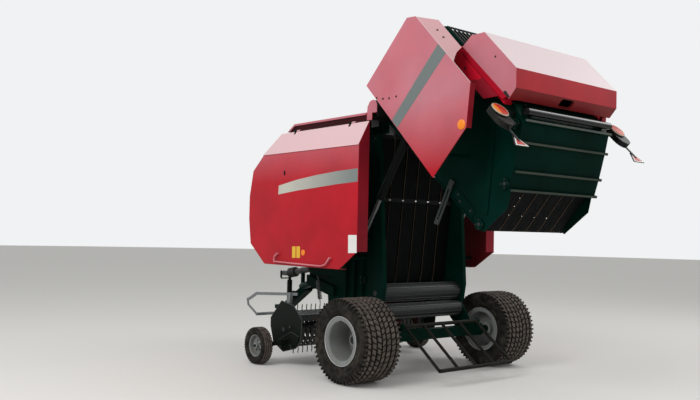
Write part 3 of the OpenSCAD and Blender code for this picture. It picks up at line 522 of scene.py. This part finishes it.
# Pieces of one plate, and pieces of bolt heads alone
def settlePlate(name, outline, low, high, material, on, axis="X", bevel=0):
    mesh = bmesh.new()
    addPlate(mesh, outline, low, high, axis)
    settle(name, mesh, material, on, bevel)


def settleBolts(name, places, face, across, tall, on, material="darkSteel"):
    mesh = bmesh.new()
    addBolts(mesh, places, face, across, tall)
    settle(name, mesh, material, on)


random.seed(7)
sides = ("left", "right")


# A tread block or lug between two radii and two angles, drawn in by its draft towards the top
def addBlock(mesh, centre, angles, across, low, high, skew, draft=3):
    corners = []
    for radius, inset in ((low, 0), (high, draft)):
        for x, lean in ((across[0] + inset, -skew), (across[1] - inset, skew)):
            for turn, pull in ((angles[0] + lean, inset / high), (angles[1] + lean, -inset / high)):
                corners.append(mesh.verts.new((centre[0] + x, centre[1] + radius * math.cos(turn + pull),
                                               centre[2] + radius * math.sin(turn + pull))))
    for face in ((0, 1, 3, 2), (4, 5, 7, 6), (0, 1, 5, 4), (1, 3, 7, 5), (3, 2, 6, 7), (2, 0, 4, 6)):
        mesh.faces.new([corners[i] for i in face])


# A comb of lugs round both shoulders of a tyre
def addLugs(mesh, centre, lugs):
    step = 2 * math.pi / lugs["count"]
    for edge in (-1, 1):
        across = sorted(edge * x for x in lugs["across"])
        for j in range(lugs["count"]):
            turns = (j * step, (j + lugs["share"]) * step)
            addBlock(mesh, centre, turns, across, *lugs["reach"], 0, lugs["draft"])


# Main tyre: carcass with beads and sidewall rings, seven staggered rows of tread blocks, shoulder lugs.
# Each row: its place across and its width. Each point of the carcass: radius and half width
mainTyre = dict(
    middle=1055, height=433, radius=433, base=408, bead=(250.5, 150), blocks=46, blockShare=0.84, skew=0.16,
    shoulder=150, drop=4, lugs=dict(count=54, share=0.58, across=(200, 240), reach=(366, 424), draft=6),
    rows=((0, 34), (60, 44), (-60, 44), (126, 44), (-126, 44), (187, 34), (-187, 34)),
    carcass=((250.5, 200), (262, 214), (292, 231), (300, 231), (303, 236), (309, 236), (312, 234), (338, 243),
             (344, 243), (348, 245), (356, 244), (360, 240), (384, 236), (404, 222), (411, 204)))
for side in sides:
    t = mainTyre
    centre = (t["middle"], 0, t["height"])
    bead, half = t["bead"]
    carcass = bmesh.new()
    addTurned(carcass, [*((r, -x) for r, x in t["carcass"]), *t["carcass"][::-1],
                        (bead, half), (bead, -half)], centre, steps=96)
    step = 2 * math.pi / t["blocks"]
    for row, (x, wide) in enumerate(t["rows"]):
        skew = step * (t["skew"] if row % 2 else -t["skew"])
        top = t["radius"] - (t["drop"] if abs(x) > t["shoulder"] else 0)
        for j in range(t["blocks"]):
            turn = (j + 0.5 * (row % 2)) * step
            addBlock(carcass, centre, (turn, turn + step * t["blockShare"]), (x - wide / 2, x + wide / 2),
                     t["base"], top, skew)
    addLugs(carcass, centre, t["lugs"])
    settle(f"main_tyre_{side}", carcass, "tyreRubber", f"tyre_{side}", instead=[f"tyre_{side}"])
print("main tyres built")

# Gauge tyre: ribbed implement tyre with small shoulder notches
gaugeTyre = dict(
    middle=1265, ahead=1500, radius=210, base=200, half=50, ribs=((47, 31), (23, 4), (-4, -23), (-31, -47)),
    draft=1.5, lugs=dict(count=40, share=0.6, across=(47, 66), reach=(186, 204), draft=3),
    carcass=((125.3, 40), (134, 54), (154, 64), (160, 64), (162, 67), (172, 68), (179, 70), (190, 66),
             (197, 60), (203, 52)))
for side in sides:
    t = gaugeTyre
    centre = (t["middle"], -t["ahead"], t["radius"])
    carcass = bmesh.new()
    tread = [(t["base"], t["half"])]
    for wide, narrow in t["ribs"]:
        tread += [(t["base"], wide), (t["radius"], wide - t["draft"]), (t["radius"], narrow + t["draft"]),
                  (t["base"], narrow)]
    tread += [(t["base"], -t["half"])]
    addTurned(carcass, [*t["carcass"], *tread, *((r, -x) for r, x in t["carcass"][::-1])], centre, steps=72)
    addLugs(carcass, centre, t["lugs"])
    settle(f"gauge_wheel_tyre_{side}", carcass, "gaugeRubber", f"gauge_tyre_{side}",
           instead=[f"gauge_tyre_{side}"])
print("gauge tyres built")

# Wheel fittings: nuts on the studs of each web, dust cap, valve, and pale steel rings on the rim edges as
# painted highlights
wheelFittings = dict(
    web=-69, ring=88, count=8, across=27, tall=18, stud=7, studEnd=28, flange=1268, edge=248, bead=4,
    cap=((36, 1099), (40, 1099), (40, 1103), (0, 1105), (0, 1100)),
    valve=((1240, 625), (1262, 632), (1276, 636)),
    gauge=dict(ring=58, count=5, first=0.4, web=4, across=17, tall=10))
for side in sides:
    w, g = wheelFittings, wheelFittings["gauge"]
    hub, web = (0, mainTyre["height"]), mainTyre["middle"] + w["web"]
    fittings = bmesh.new()
    places = roundPoints(hub, w["ring"], evenTurns(w["count"]))
    addBolts(fittings, places, web, w["across"], w["tall"])
    for place in places:
        addWire(fittings, [(web, *place), (web + w["studEnd"], *place)], w["stud"])
    addTurned(fittings, w["cap"], (0, *hub), steps=32)
    addWire(fittings, [(x, 0, z) for x, z in w["valve"]], 5)
    settle(f"wheel_nuts_{side}", fittings, "darkSteel", f"rim_{side}")
    edges = bmesh.new()
    for x in (w["flange"], 2 * mainTyre["middle"] - w["flange"]):
        addTurned(edges, roundPoints((w["edge"], x), w["bead"], evenTurns(6)), (0, *hub), steps=96)
    settle(f"rim_glints_{side}", edges, "glintSteel", f"rim_{side}")
    hub = (-gaugeTyre["ahead"], gaugeTyre["radius"])
    places = roundPoints(hub, g["ring"], evenTurns(g["count"], g["first"]))
    settleBolts(f"gauge_nuts_{side}", places, gaugeTyre["middle"] + g["web"], g["across"], g["tall"],
                f"gauge_rim_{side}")
print("wheel fittings built")

# Front shield: hemmed face, folds round its edge, closed rear end, bevelled top sheet cut out for the
# hinge arms. The bevel is cut at one height and ends at its ridge, each (height, distance out), and
# front is where the sheet ends ahead at both
frontShield = dict(
    face=1071, hem=9, fold=102, sheet=9, hinges=(-1340, -330), hingeAt=(927, 2700), knuckle=(38, 98, 13),
    cut=(2658, 947.5), ridge=(2690, 930), front=(-1633, -1610), gap=(34, -4),
    outline=((-5, 2432), (-5, 1330), (-287, 1140), (-1725, 1140), (-2035, 1373), (-2083, 1673), (-2083, 1952),
             (-2012, 2257), (-1795, 2432)),
    end=((1068, 1330), (1068, 2432), (930, 2690), (930, 1330)), endAt=(-12, -4),
    stripe=((-1452, 2060), (-1078, 2116), (-721, 2152), (-367, 2177), (-14, 2191), (-14, 2053), (-363, 2038),
            (-716, 2014), (-1073, 1992), (-1458, 1956)),
    rail=((-1419, 1266), (-1466, 1236), (-1480, 1205), (-1473, 1174), (-1180, 1168), (-579, 1159),
          (-500, 1178), (-431, 1250)),
    railOut=26, railRadius=9, latchAt=(-1339, 2203), latchPlate=(26, 58, 11), latchSlot=(12, 38, 5),
    yellowPlates=(((-1152, 1356), (-1085, 1358), (-1080, 1229), (-1147, 1226)),
                  ((-1068, 1358), (-1000, 1361), (-995, 1232), (-1063, 1229))),
    whitePlate=((-149, 1501), (-12, 1503), (-6, 1319), (-143, 1313)), reflector=(-935, 1292), lens=34)
for side in sides:
    f, on = frontShield, f"front_shield_{side}"
    face, back = f["face"], f["face"] - f["hem"]
    rear, eaves = f["outline"][0]
    shell = bmesh.new()
    addPlate(shell, f["outline"], back, face)
    for p, q in zip(f["outline"][2:], f["outline"][3:]):
        addFold(shell, p, q, back, face - f["fold"])
    (level, inner), (ridge, crest), (low, high) = f["cut"], f["ridge"], f["front"]
    addSheet(shell, ((face, rear, eaves), (inner, rear, level), (inner, low, level),
                     (face, *f["outline"][-1])), -f["sheet"])
    gaps = [rear] + [y + g for y in reversed(f["hinges"]) for g in f["gap"]] + [low]
    for first, last in zip(gaps[::2], gaps[1::2]):
        addSheet(shell, ((inner, first, level), (crest, first, ridge), (crest, max(last, high), ridge),
                         (inner, last, level)), -f["sheet"])
    x, z = f["hingeAt"]
    start, end, radius = f["knuckle"]
    for y in f["hinges"]:
        addWire(shell, [(x, y + start, z), (x, y + end, z)], radius, 20)
    settle(f"side_shield_{side}", shell, "redPaint", on, instead=[on])
    # the closed rear end in the darker red, as painted shade
    settlePlate(f"shield_end_{side}", f["end"], *f["endAt"], "edgeRed", on, "Y")
    plates = [("stripe", f["stripe"], "silverFilm"), ("white_plate", f["whitePlate"], "whiteVinyl")]
    plates += [(f"yellow_plate_{i}", plate, "yellowVinyl") for i, plate in enumerate(f["yellowPlates"])]
    for name, outline, material in plates:
        settlePlate(f"shield_{name}_{side}", outline, face - 0.5, face + 1, material, on)
    rail = bmesh.new()
    addWire(rail, [(face - 2, *f["rail"][0]), *((face + f["railOut"], y, z) for y, z in f["rail"]),
                   (face - 2, *f["rail"][-1])], f["railRadius"], 10)
    settle(f"grab_rail_{side}", rail, "highlitTubeRed", on)
    slot = bmesh.new()
    addPlate(slot, roundedOutline(f["latchAt"], *f["latchPlate"]), face - 0.5, face + 3)
    addPlate(slot, roundedOutline(f["latchAt"], *f["latchSlot"]), face + 2, face + 10)
    settle(f"shield_latch_{side}", slot, "blackPlastic", on, bevel=1)
    lens = bmesh.new()
    addLens(lens, f["lens"], face, f["reflector"], 5, 32)
    settle(f"shield_reflector_{side}", lens, "amberLens", on)

# Tailgate shield: hemmed face, folds along its front and top, bevelled rear sheet, grey stripe, bolts and
# a round reflector
gateShield = dict(
    face=1071, hem=9, fold=30, rearFold=70, sheet=9,
    outline=((254, 2798), (245, 1417), (832, 1436), (1143, 1686), (1161, 2708), (1082, 2800)),
    bevel=((880, 1229, 2606), (1068, 1159, 2706), (1068, 1146, 1985), (1010, 1171, 2060), (956, 1190, 2117),
           (880, 1219, 2166)),
    stripe=((256, 2240), (600, 2251), (1000, 2262), (1150, 2265), (1150, 2120), (600, 2124), (254, 2124)),
    bolts=((266, 2580), (321, 2498), (381, 2429), (457, 2361)),
    bolt=(17, 7), bevelBolts=((1000, 1262, 2459), (1000, 1262, 2343)),
    reflector=(816, 1495), lens=46)
for side in sides:
    g, on = gateShield, f"gate_shield_{side}"
    face, back, line = g["face"], g["face"] - g["hem"], g["outline"]
    shell = bmesh.new()
    addPlate(shell, line, back, face)
    for p, q in ((line[0], line[1]), (line[5], line[0])):
        addFold(shell, p, q, back, face - g["fold"])
    settle(f"gate_side_shield_{side}", shell, "redPaint", on, instead=[on])
    bevelled = bmesh.new()
    addSheet(bevelled, g["bevel"], g["sheet"])
    settle(f"gate_bevel_{side}", bevelled, "lessGlareRed", on)
    fold = bmesh.new()
    # the rear fold in the darker red, as painted shade
    addFold(fold, line[2], line[3], back, face - g["rearFold"])
    settle(f"gate_rear_fold_{side}", fold, "edgeRed", on)
    settlePlate(f"gate_stripe_{side}", g["stripe"], face - 0.5, face + 1, "greyFilm", on)
    bolts = bmesh.new()
    addBolts(bolts, g["bolts"], face - 0.5, *g["bolt"])
    p, q, r = (Vector(c) for c in g["bevel"][:3])
    out = (q - p).cross(r - p).normalized()
    out = out if out.x > 0 else -out
    for spot in g["bevelBolts"]:
        seat = Vector(spot)
        seat -= out * (seat - p).dot(out)
        addWire(bolts, [seat - out, seat + out * 7], 9, 6)
    settle(f"gate_shield_bolts_{side}", bolts, "darkSteel", on)
    lens = bmesh.new()
    addLens(lens, g["lens"], face, g["reflector"], 6, 36)
    settle(f"gate_reflector_{side}", lens, "amberLens", on)
print("shields built")

# Hood: rolled lip along its top edge; below it a dark band as painted shade; a rubber flap behind each rear
# cap with a black sheet closing the cap's rear as painted shade; a black liner inside as painted shade
hood = dict(side=880, low=2715, top=2800, lip=26, front=(-1560, -1420), rear=-112, caps=(642, 874),
            capAt=(-40, -36),
            flap=((22, 2915), (46, 2870), (46, 2745), (50, 2745), (50, 2872), (24, 2919)),
            liner=((-868, -1400), (868, -1400), (868, -195), (-868, -195)), linerAt=(2786, 2790))
for side in sides:
    h = hood
    foot, brow = h["front"]
    face, low, top, under, rear = h["side"], h["low"], h["top"], h["top"] - h["lip"], h["rear"]
    settlePlate(f"hood_lip_{side}", (
        (foot, low), (brow, top + 1), (rear, top + 1), (rear, under), (brow + 8, under), (foot + 44, low)),
        face - 1, face + 12, "redPaint", "hood", bevel=3)
    # a dark band under the lip, as painted shade
    settlePlate(f"hood_shade_band_{side}", (
        (foot + 40, low + 1), (brow + 8, under + 1), (rear, under + 1), (rear, low + 1)),
        face - 1, face + 1, "maroonPaint", "hood")
    flap = bmesh.new()
    near, far = h["caps"]
    addPlate(flap, h["flap"], near, far + 2)
    # a black sheet closing the cap's rear end, as painted shade
    addPlate(flap, ((near, low + 1), (far, low + 1), (far, top - 4), (near, top - 4)), *h["capAt"], "Y")
    settle(f"hood_flap_{side}", flap, "blackPlastic", "hood")
# a black liner under the hood's top, as painted shade
settlePlate("hood_shade_liner", hood["liner"], *hood["linerAt"], "blackPlastic", "hood", "Z")

# Tailgate wall: welded bracket ahead of the lower front roller, with its bolts
gateBracket = dict(face=634, thick=8, line=((132, 1440), (137, 1096), (50, 1090), (36, 1345)),
                   bolts=((98, 1150), (98, 1376), (66, 1310)), bolt=(20, 6))
for side in sides:
    k, on = gateBracket, f"gate_wall_{side}"
    proud = k["face"] + k["thick"]
    settlePlate(f"gate_bracket_{side}", k["line"], k["face"] - 1, proud, "greenPaint", on, bevel=2)
    settleBolts(f"gate_bracket_bolts_{side}", k["bolts"], proud - 0.5, *k["bolt"], on)

# Tailgate rear wall: tops of its ribs painted pale as highlights, edge flanges between them, screen and slats
# above the net box, the slats' tops also painted pale as highlights
rearWall = dict(line=((1150, 1640), (1150, 1440), (1104, 1262), (947, 1161), (719, 1028), (565, 948)),
                proud=34, half=10, edge=634, reach=675, grille=(2296, 2686), screen=620,
                screenAt=(1126, 1129), slats=range(-600, 601, 60), slatHalf=4, slatAt=(1149.5, 1151.5))
w = rearWall
tops = bmesh.new()
flanges = bmesh.new()
points = [Vector(p) for p in w["line"]]
normals = [Vector((-(q - p).y, (q - p).x)).normalized() for p, q in zip(points, points[1:])]
for i in range(2, len(points)):
    out = (normals[i - 1] + normals[min(i, len(normals) - 1)]).normalized()
    along = Vector((-out.y, out.x)) * w["half"]
    near, far = points[i] + out * (w["proud"] - 0.5), points[i] + out * (w["proud"] + 1)
    addPlate(tops, (near + along, near - along, far - along, far + along), -w["reach"], w["reach"])
for x in (-1, 1):
    for p, q in zip(points, points[1:]):
        edge, reach = x * w["edge"], x * w["reach"]
        addSheet(flanges, ((edge, *p), (reach, *p), (reach, *q), (edge, *q)), 5 * x)
settle("rib_tops", tops, "ribHighlight", "gate_rear_wall")
settle("wall_edge_flanges", flanges, "greenPaint", "gate_rear_wall")
low, high = w["grille"]
wide = w["screen"]
settlePlate("grille_screen", ((-wide, low), (wide, low), (wide, high), (-wide, high)), *w["screenAt"],
            "blackPlastic", "gate_top_grille", "Y")
slats = bmesh.new()
for x in w["slats"]:
    near, far = x - w["slatHalf"], x + w["slatHalf"]
    addPlate(slats, ((near, low), (far, low), (far, high), (near, high)), *w["slatAt"], "Y")
settle("grille_slat_tops", slats, "ribHighlight", "gate_top_grille")
print("hood and tailgate dressed")

# Lamps: ribbed round lens in a pale bezel, amber part outboard, and a red triangle with a pale border
lamp = dict(x=920, z=1357, seat=1118, lens=80, bezel=89, parting=38, plate=1058, plateLow=943, sign=(86, 136))
for side in sides:
    k, on = lamp, f"lamp_{side}"
    at, seat, radius, split = (k["x"], 0, k["z"]), k["seat"], k["lens"], k["x"] + k["parting"]
    bezel = bmesh.new()
    addTurned(bezel, [(radius - 1, seat - 2), (k["bezel"], seat - 2), (k["bezel"], seat + 4),
                      (radius + 3, seat + 9), (radius - 1, seat + 8)], at, "Y")
    settle(f"lamp_bezel_{side}", bezel, "paleRim", on)
    for name, keep in (("red", -1), ("amber", 1)):
        lens = bmesh.new()
        rings = [(radius - 2 - 9 * i, seat + 6 + (4 if i % 2 else 2) + 1.4 * i) for i in range(9)]
        addTurned(lens, [(radius - 2, seat + 1), *rings, (0, seat + 20), (0, seat + 1)], at, "Y")
        whole = lens.verts[:] + lens.edges[:] + lens.faces[:]
        bmesh.ops.bisect_plane(lens, geom=whole, plane_co=(split, 0, 0), plane_no=(-keep, 0, 0),
                               clear_outer=True)
        bmesh.ops.holes_fill(lens, edges=[e for e in lens.edges if e.is_boundary])
        settle(f"lamp_{name}_{side}", lens, f"{name}Lens", on)
    half, tall = k["sign"]
    for name, material, inset, proud in (("border", "whiteVinyl", 0, 1.5), ("triangle", "redLens", 20, 4)):
        reach, low = half - inset * 1.4, k["plateLow"] + inset * 0.7 + 2
        settlePlate(f"reflector_{name}_{side}", (
            (k["x"] - reach, low), (k["x"] + reach, low), (k["x"], k["plateLow"] + tall - inset * 1.3)),
            k["plate"] - 1, k["plate"] + proud, material, on, "Y")
print("lamps built")

# Belt lacing: wire hooks across each belt, on runs from one roller to the next at a share of the way
lacing = dict(belts=6, pitch=198, width=175, wires=22, wire=2.2, reach=24, off=59, pin=9, pinHalf=13)
beltRuns = {
    "front": ("front_belts", (((-420, 1010), (-250, 2560), 0.577), ((-250, 2560), (-1230, 2480), 0.5))),
    "gate": ("gate_belts", (((150, 2640), (85, 980), 0.45), ((1030, 2620), (150, 2640), 0.5))),
}
for name, (on, runs) in beltRuns.items():
    k = lacing
    hooks = bmesh.new()
    pins = bmesh.new()
    for first, last, share in runs:
        first, last = Vector(first), Vector(last)
        along = (last - first).normalized()
        at = first.lerp(last, share) + Vector((along.y, -along.x)) * k["off"]
        ends = at - along * k["reach"], at + along * k["reach"]
        for b in range(k["belts"]):
            middle = (b - (k["belts"] - 1) / 2) * k["pitch"]
            for w in range(k["wires"]):
                x = middle + (w - (k["wires"] - 1) / 2) * k["width"] / (k["wires"] + 1)
                addWire(hooks, [(x, *ends[0]), (x, *ends[1])], k["wire"], 6)
            edge = middle + k["pitch"] / 2
            if b < k["belts"] - 1:
                addWire(pins, [(edge - k["pinHalf"], *at), (edge + k["pinHalf"], *at)], k["pin"], 10)
    settle(f"{name}_belt_lacing", hooks, "darkSteel", on)
    # the pins in pale steel as painted glints
    settle(f"{name}_lacing_pins", pins, "glintSteel", on)
print("belts laced")

# Driving ribs along the starter and floor rollers
rollerRibs = {"starter_roller": dict(at=(-190, 880), radius=95, count=14, reach=590),
              "floor_roller": dict(at=(-140, 680), radius=80, count=12, reach=590)}
for on, r in rollerRibs.items():
    ribs = bmesh.new()
    for k in range(r["count"]):
        turn = 2 * math.pi * (k + 0.35) / r["count"]
        out = Vector((math.cos(turn), math.sin(turn)))
        along = Vector((-out.y, out.x)) * 5
        near, far = Vector(r["at"]) + out * (r["radius"] - 2), Vector(r["at"]) + out * (r["radius"] + 6)
        outline = (near + along, near - along, far - along * 0.6, far + along * 0.6)
        addPlate(ribs, outline, -r["reach"], r["reach"])
    settle(f"{on}_ribs", ribs, "wornSteel", on)

# Pickup side plates: rolled edge, arm bracket with a rim, the edge and the rim in grey as painted highlights,
# its bolts
pickupPlate = dict(
    face=1062, bead=5, thick=12, rim=3,
    line=((-1354, 723), (-1117, 689), (-941, 546), (-964, 308), (-1050, 215), (-1300, 150), (-1500, 240),
          (-1564, 420), (-1564, 513), (-1354, 723)),
    bracket=((-1442, 232), (-1420, 252), (-1140, 387), (-1109, 388), (-973, 353), (-1022, 246), (-1110, 238),
             (-1384, 238)),
    bolts=((-1347, 206), (-1136, 208), (-1166, 440)), bolt=(26, 10))
for side in sides:
    k = pickupPlate
    face, proud, line = k["face"], k["face"] + k["thick"], k["bracket"]
    bead = bmesh.new()
    addWire(bead, [(face - 4, y, z) for y, z in k["line"]], k["bead"], 10)
    for run in (line[:5], (line[0], line[-1], line[6])):
        addWire(bead, [(proud, y, z) for y, z in run], k["rim"], 8)
    settle(f"pickup_plate_bead_{side}", bead, "edgeHighlightGrey", "pickup_frame")
    settlePlate(f"pickup_bracket_{side}", line, face - 1, proud, "plateBlack", "pickup_frame", bevel=2)
    settleBolts(f"pickup_plate_bolts_{side}", k["bolts"], face - 0.5, *k["bolt"], "pickup_frame",
                "springSteel")
print("pickup plates dressed")

# Pickup lift spring and its tie rods, beside the chamber wall
liftSpring = dict(x=760, low=(-1010, 715), high=(-1060, 1010), radius=22, wire=5, turns=13, steps=10, rod=48,
                  inset=45, hanger=(612, 774, 9))
for side in sides:
    s = liftSpring
    low, high = (Vector((s["x"], *p)) for p in (s["low"], s["high"]))
    ahead = (high - low).normalized()
    across = Vector((1, 0, 0))
    over = ahead.cross(across)
    coil = bmesh.new()
    turn = [2 * math.pi * i / s["steps"] for i in range(s["turns"] * s["steps"] + 1)]
    run = (high - low).length - 2 * s["inset"]
    addWire(coil, [low + ahead * (s["inset"] + run * i / (len(turn) - 1))
                   + (across * math.cos(t) + over * math.sin(t)) * s["radius"]
                   for i, t in enumerate(turn)], s["wire"])
    for end, way in ((low, ahead), (high, -ahead)):
        hook = end + way * (s["rod"] + 4) + across * s["radius"]
        addWire(coil, [end, end + way * s["rod"], hook], s["wire"])
    inner, outer, radius = s["hanger"]
    addWire(coil, [(inner, *s["high"]), (outer, *s["high"])], radius, 12)
    settle(f"lift_spring_{side}", coil, "springSteel", f"side_wall_{side}")

# Fixings of the chamber walls: four bolts and a cap on each roller's bearing
wallFixings = dict(
    side_wall=dict(face=630, rings=((-250, 2560), (-1230, 2480), (-1180, 1180), (-420, 1010))),
    gate_wall=dict(face=652, rings=((85, 980), (560, 1030), (1020, 1330), (1030, 2620), (150, 2640))))
boltRing = dict(radius=42, turns=(0.8, 2.37, 3.94, 5.5), bolt=(13, 6),
                cap=((18, -1), (18, 3), (9, 5), (0, 5), (0, -1)))
for on, w in wallFixings.items():
    for side in sides:
        bolts = bmesh.new()
        for spot in w["rings"]:
            addBolts(bolts, roundPoints(spot, boltRing["radius"], boltRing["turns"]), w["face"] - 0.5,
                     *boltRing["bolt"])
            addTurned(bolts, [(radius, w["face"] + x) for radius, x in boltRing["cap"]], (0, *spot), steps=20)
        settle(f"{on}_bolts_{side}", bolts, "darkSteel", f"{on}_{side}")

# Net box lid: folded shell with a hand hole in its lower face, darker flanges, hinge lugs, a bolt, a catch
netLid = dict(
    end=792, thick=14, hole=(184, 80), corner=20, hinge=(1180, 2246), lug=14, lugs=(744, 774),
    bolt=(1365, 1842), boxBolt=(1071, 2064),
    outline=((1193, 2236), (1193, 1444), (1312, 1453), (1437, 1576), (1447, 2112), (1332, 2223)),
    flange=((1141, 1500), (1194, 1480), (1194, 2210), (1141, 2210)),
    catch=((1196, 1452), (1214, 1452), (1222, 1520), (1206, 1540), (1192, 1522)),
    patch=((1011, 1930), (1060, 1900), (1095, 1852), (1134, 1836), (1134, 1562), (1011, 1681)),
    lining=((-1, -2), (6, -2), (6, 3), (-4, 4), (-4, -26), (-1, -26)))  # reach past the hole's edge, depth
n = netLid
a, b = (Vector((0, *n["outline"][i])) for i in (2, 1))
middle, down = (a + b) / 2, (b - a).normalized()
out = Vector((1, 0, 0)).cross(down)
out = out if out.z < 0 else -out
wide, tall = (size / 2 for size in n["hole"])
slim, short = wide - n["corner"], tall - n["corner"]
corners = ((wide, short), (slim, tall), (-slim, tall), (-wide, short), (-wide, -short), (-slim, -tall),
           (slim, -tall), (wide, -short))
shell = bmesh.new()
near, far = ([shell.verts.new((x, *p)) for p in n["outline"]] for x in (-n["end"], n["end"]))
for i in (2, 3, 4, 5):
    j = (i + 1) % 6
    shell.faces.new((near[i], near[j], far[j], far[i]))
shell.faces.new(near)
shell.faces.new(far)
h = [shell.verts.new(middle + Vector((x, 0, 0)) + down * d) for x, d in corners]
for loop in ((far[1], near[1], h[2], h[1]), (near[1], near[2], h[4], h[3], h[2]),
             (near[2], far[2], h[6], h[5], h[4]), (far[2], far[1], h[1], h[0], h[7], h[6])):
    shell.faces.new(loop)
lid = settle("net_box_lid", shell, "redPaint", "net_lid", instead=["net_lid"])
lid.data.shade_flat()
wall = lid.modifiers.new("wall", "SOLIDIFY")
wall.thickness = n["thick"] / 1000
wall.offset = -1
wall.use_even_offset = True
lid.data.materials.append(finish["edgeRed"])  # the inside and the cut edges get the darker red as painted shade
wall.material_offset = 1
wall.material_offset_rim = 1
# a black sleeve lining the hand hole, as painted shade inside it
lining = bmesh.new()
rings = []
for reach, depth in n["lining"]:
    grown = [(x + math.copysign(reach, x), d + math.copysign(reach, d)) for x, d in corners]
    rings.append([lining.verts.new(middle + Vector((x, 0, 0)) + down * d + out * depth) for x, d in grown])
addSides(lining, rings + rings[:1])
settle("lid_hole_shade", lining, "blackPlastic", "net_lid")
for side in sides:
    end = n["end"]
    settlePlate(f"lid_flange_{side}", n["flange"], end - 16, end + 0.5, "flangeRed", "net_lid")
    knuckle = roundPoints(n["hinge"], n["lug"], [math.pi * k / 8 for k in range(4, 17)])
    settlePlate(f"lid_lugs_{side}", knuckle + [(1192, 2228), (1230, 2228), (1230, 2236)], *n["lugs"],
                "redPaint", "net_lid")
    settleBolts(f"lid_bolts_{side}", [n["bolt"]], end - 0.5, 15, 6, "net_lid")
    settlePlate(f"lid_catch_{side}", n["catch"], end - 1, end + 7, "latchPaint", "net_lid", bevel=2)
    # a darker red sheet over the end plate's lower part, as painted shade
    settlePlate(f"box_shade_patch_{side}", n["patch"], end - 1, end + 1, "edgeRed", "net_box_base")
    settleBolts(f"box_bolts_{side}", [n["boxBolt"]], end - 0.5, 17, 6, "net_box_base")
print("net box built")

# Latch arm: bright loop of wire at its lower end
latch = dict(x=667, eye=(-278, 1374), radius=20, wire=4)
for side in sides:
    loop = bmesh.new()
    section = roundPoints((latch["radius"], 0), latch["wire"], evenTurns(8))
    addTurned(loop, section, (latch["x"], *latch["eye"]), steps=28)
    settle(f"latch_loop_{side}", loop, "springSteel", f"latch_{side}")

# Driveline guard: convoluted ends and seam rings on the shaft guard
guard = dict(start=(0, -1700, 1118), end=(0, -2700, 960), rings=9, pitch=15, hem=58, waist=61, crown=67,
             long=145, seams=(0.3, 0.5, 0.7), seam=(8, 43))
start, end = Vector(guard["start"]), Vector(guard["end"])
ahead = (end - start).normalized()
ribs = bmesh.new()
section = [(guard["hem"], 0)]
for k in range(guard["rings"]):
    foot = guard["pitch"] * k
    section += [(guard["waist"], foot + 4), (guard["crown"], foot + 9), (guard["waist"], foot + 14)]
section += [(guard["hem"], guard["long"])]
spin = Vector((0, 0, 1)).rotation_difference(ahead).to_matrix().to_4x4()
for base, turn in ((start, 0), (end, math.pi)):
    first = len(ribs.verts)
    addTurned(ribs, section, (0, 0, 0), "Z", 32)
    ribs.verts.ensure_lookup_table()
    place = Matrix.Translation(base) @ spin @ Matrix.Rotation(turn, 4, "X")
    bmesh.ops.transform(ribs, matrix=place, verts=ribs.verts[first:])
half, radius = guard["seam"]
for share in guard["seams"]:
    at = start.lerp(end, share)
    addWire(ribs, [at - ahead * half, at + ahead * half], radius, 32)
settle("guard_ribs", ribs, "shaftGuard", "driveline")

# Gearbox: cover bolts on its front, plugs on its top, and a ring of bolts on its side flange
gearbox = dict(front=-1300.5, cover=((-85, 1040), (-85, 1200), (85, 1040), (85, 1200), (0, 1040)),
               top=1224, plugs=((-60, -1350), (60, -1520)),
               side=110, flange=(-1390, 1120), ring=72, turns=(0.5, 1.75, 3.0, 4.3, 5.5))
k = gearbox
cover = bmesh.new()
addBolts(cover, k["cover"], k["front"], 20, 9, "Y")
addBolts(cover, k["plugs"], k["top"], 26, 14, "Z")
addBolts(cover, roundPoints(k["flange"], k["ring"], k["turns"]), k["side"], 17, 8)
settle("gearbox_bolts", cover, "darkSteel", "gearbox")

# Jack: crank post with its grip, and the lock pin. Each rod: its points, radius and sides
jackRods = ((((300, -2480, 905), (300, -2480, 930), (300, -2480, 1010)), 7, 12),
            (((300, -2480, 915), (300, -2480, 922), (300, -2480, 995), (300, -2480, 1003)), 14, 16),
            (((110, -2530, 700), (200, -2530, 700)), 8, 12))
crank = bmesh.new()
for points, radius, count in jackRods:
    addWire(crank, points, radius, count)
settle("jack_crank", crank, "blackPlastic", "jack")
print("drive and jack dressed")

low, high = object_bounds()
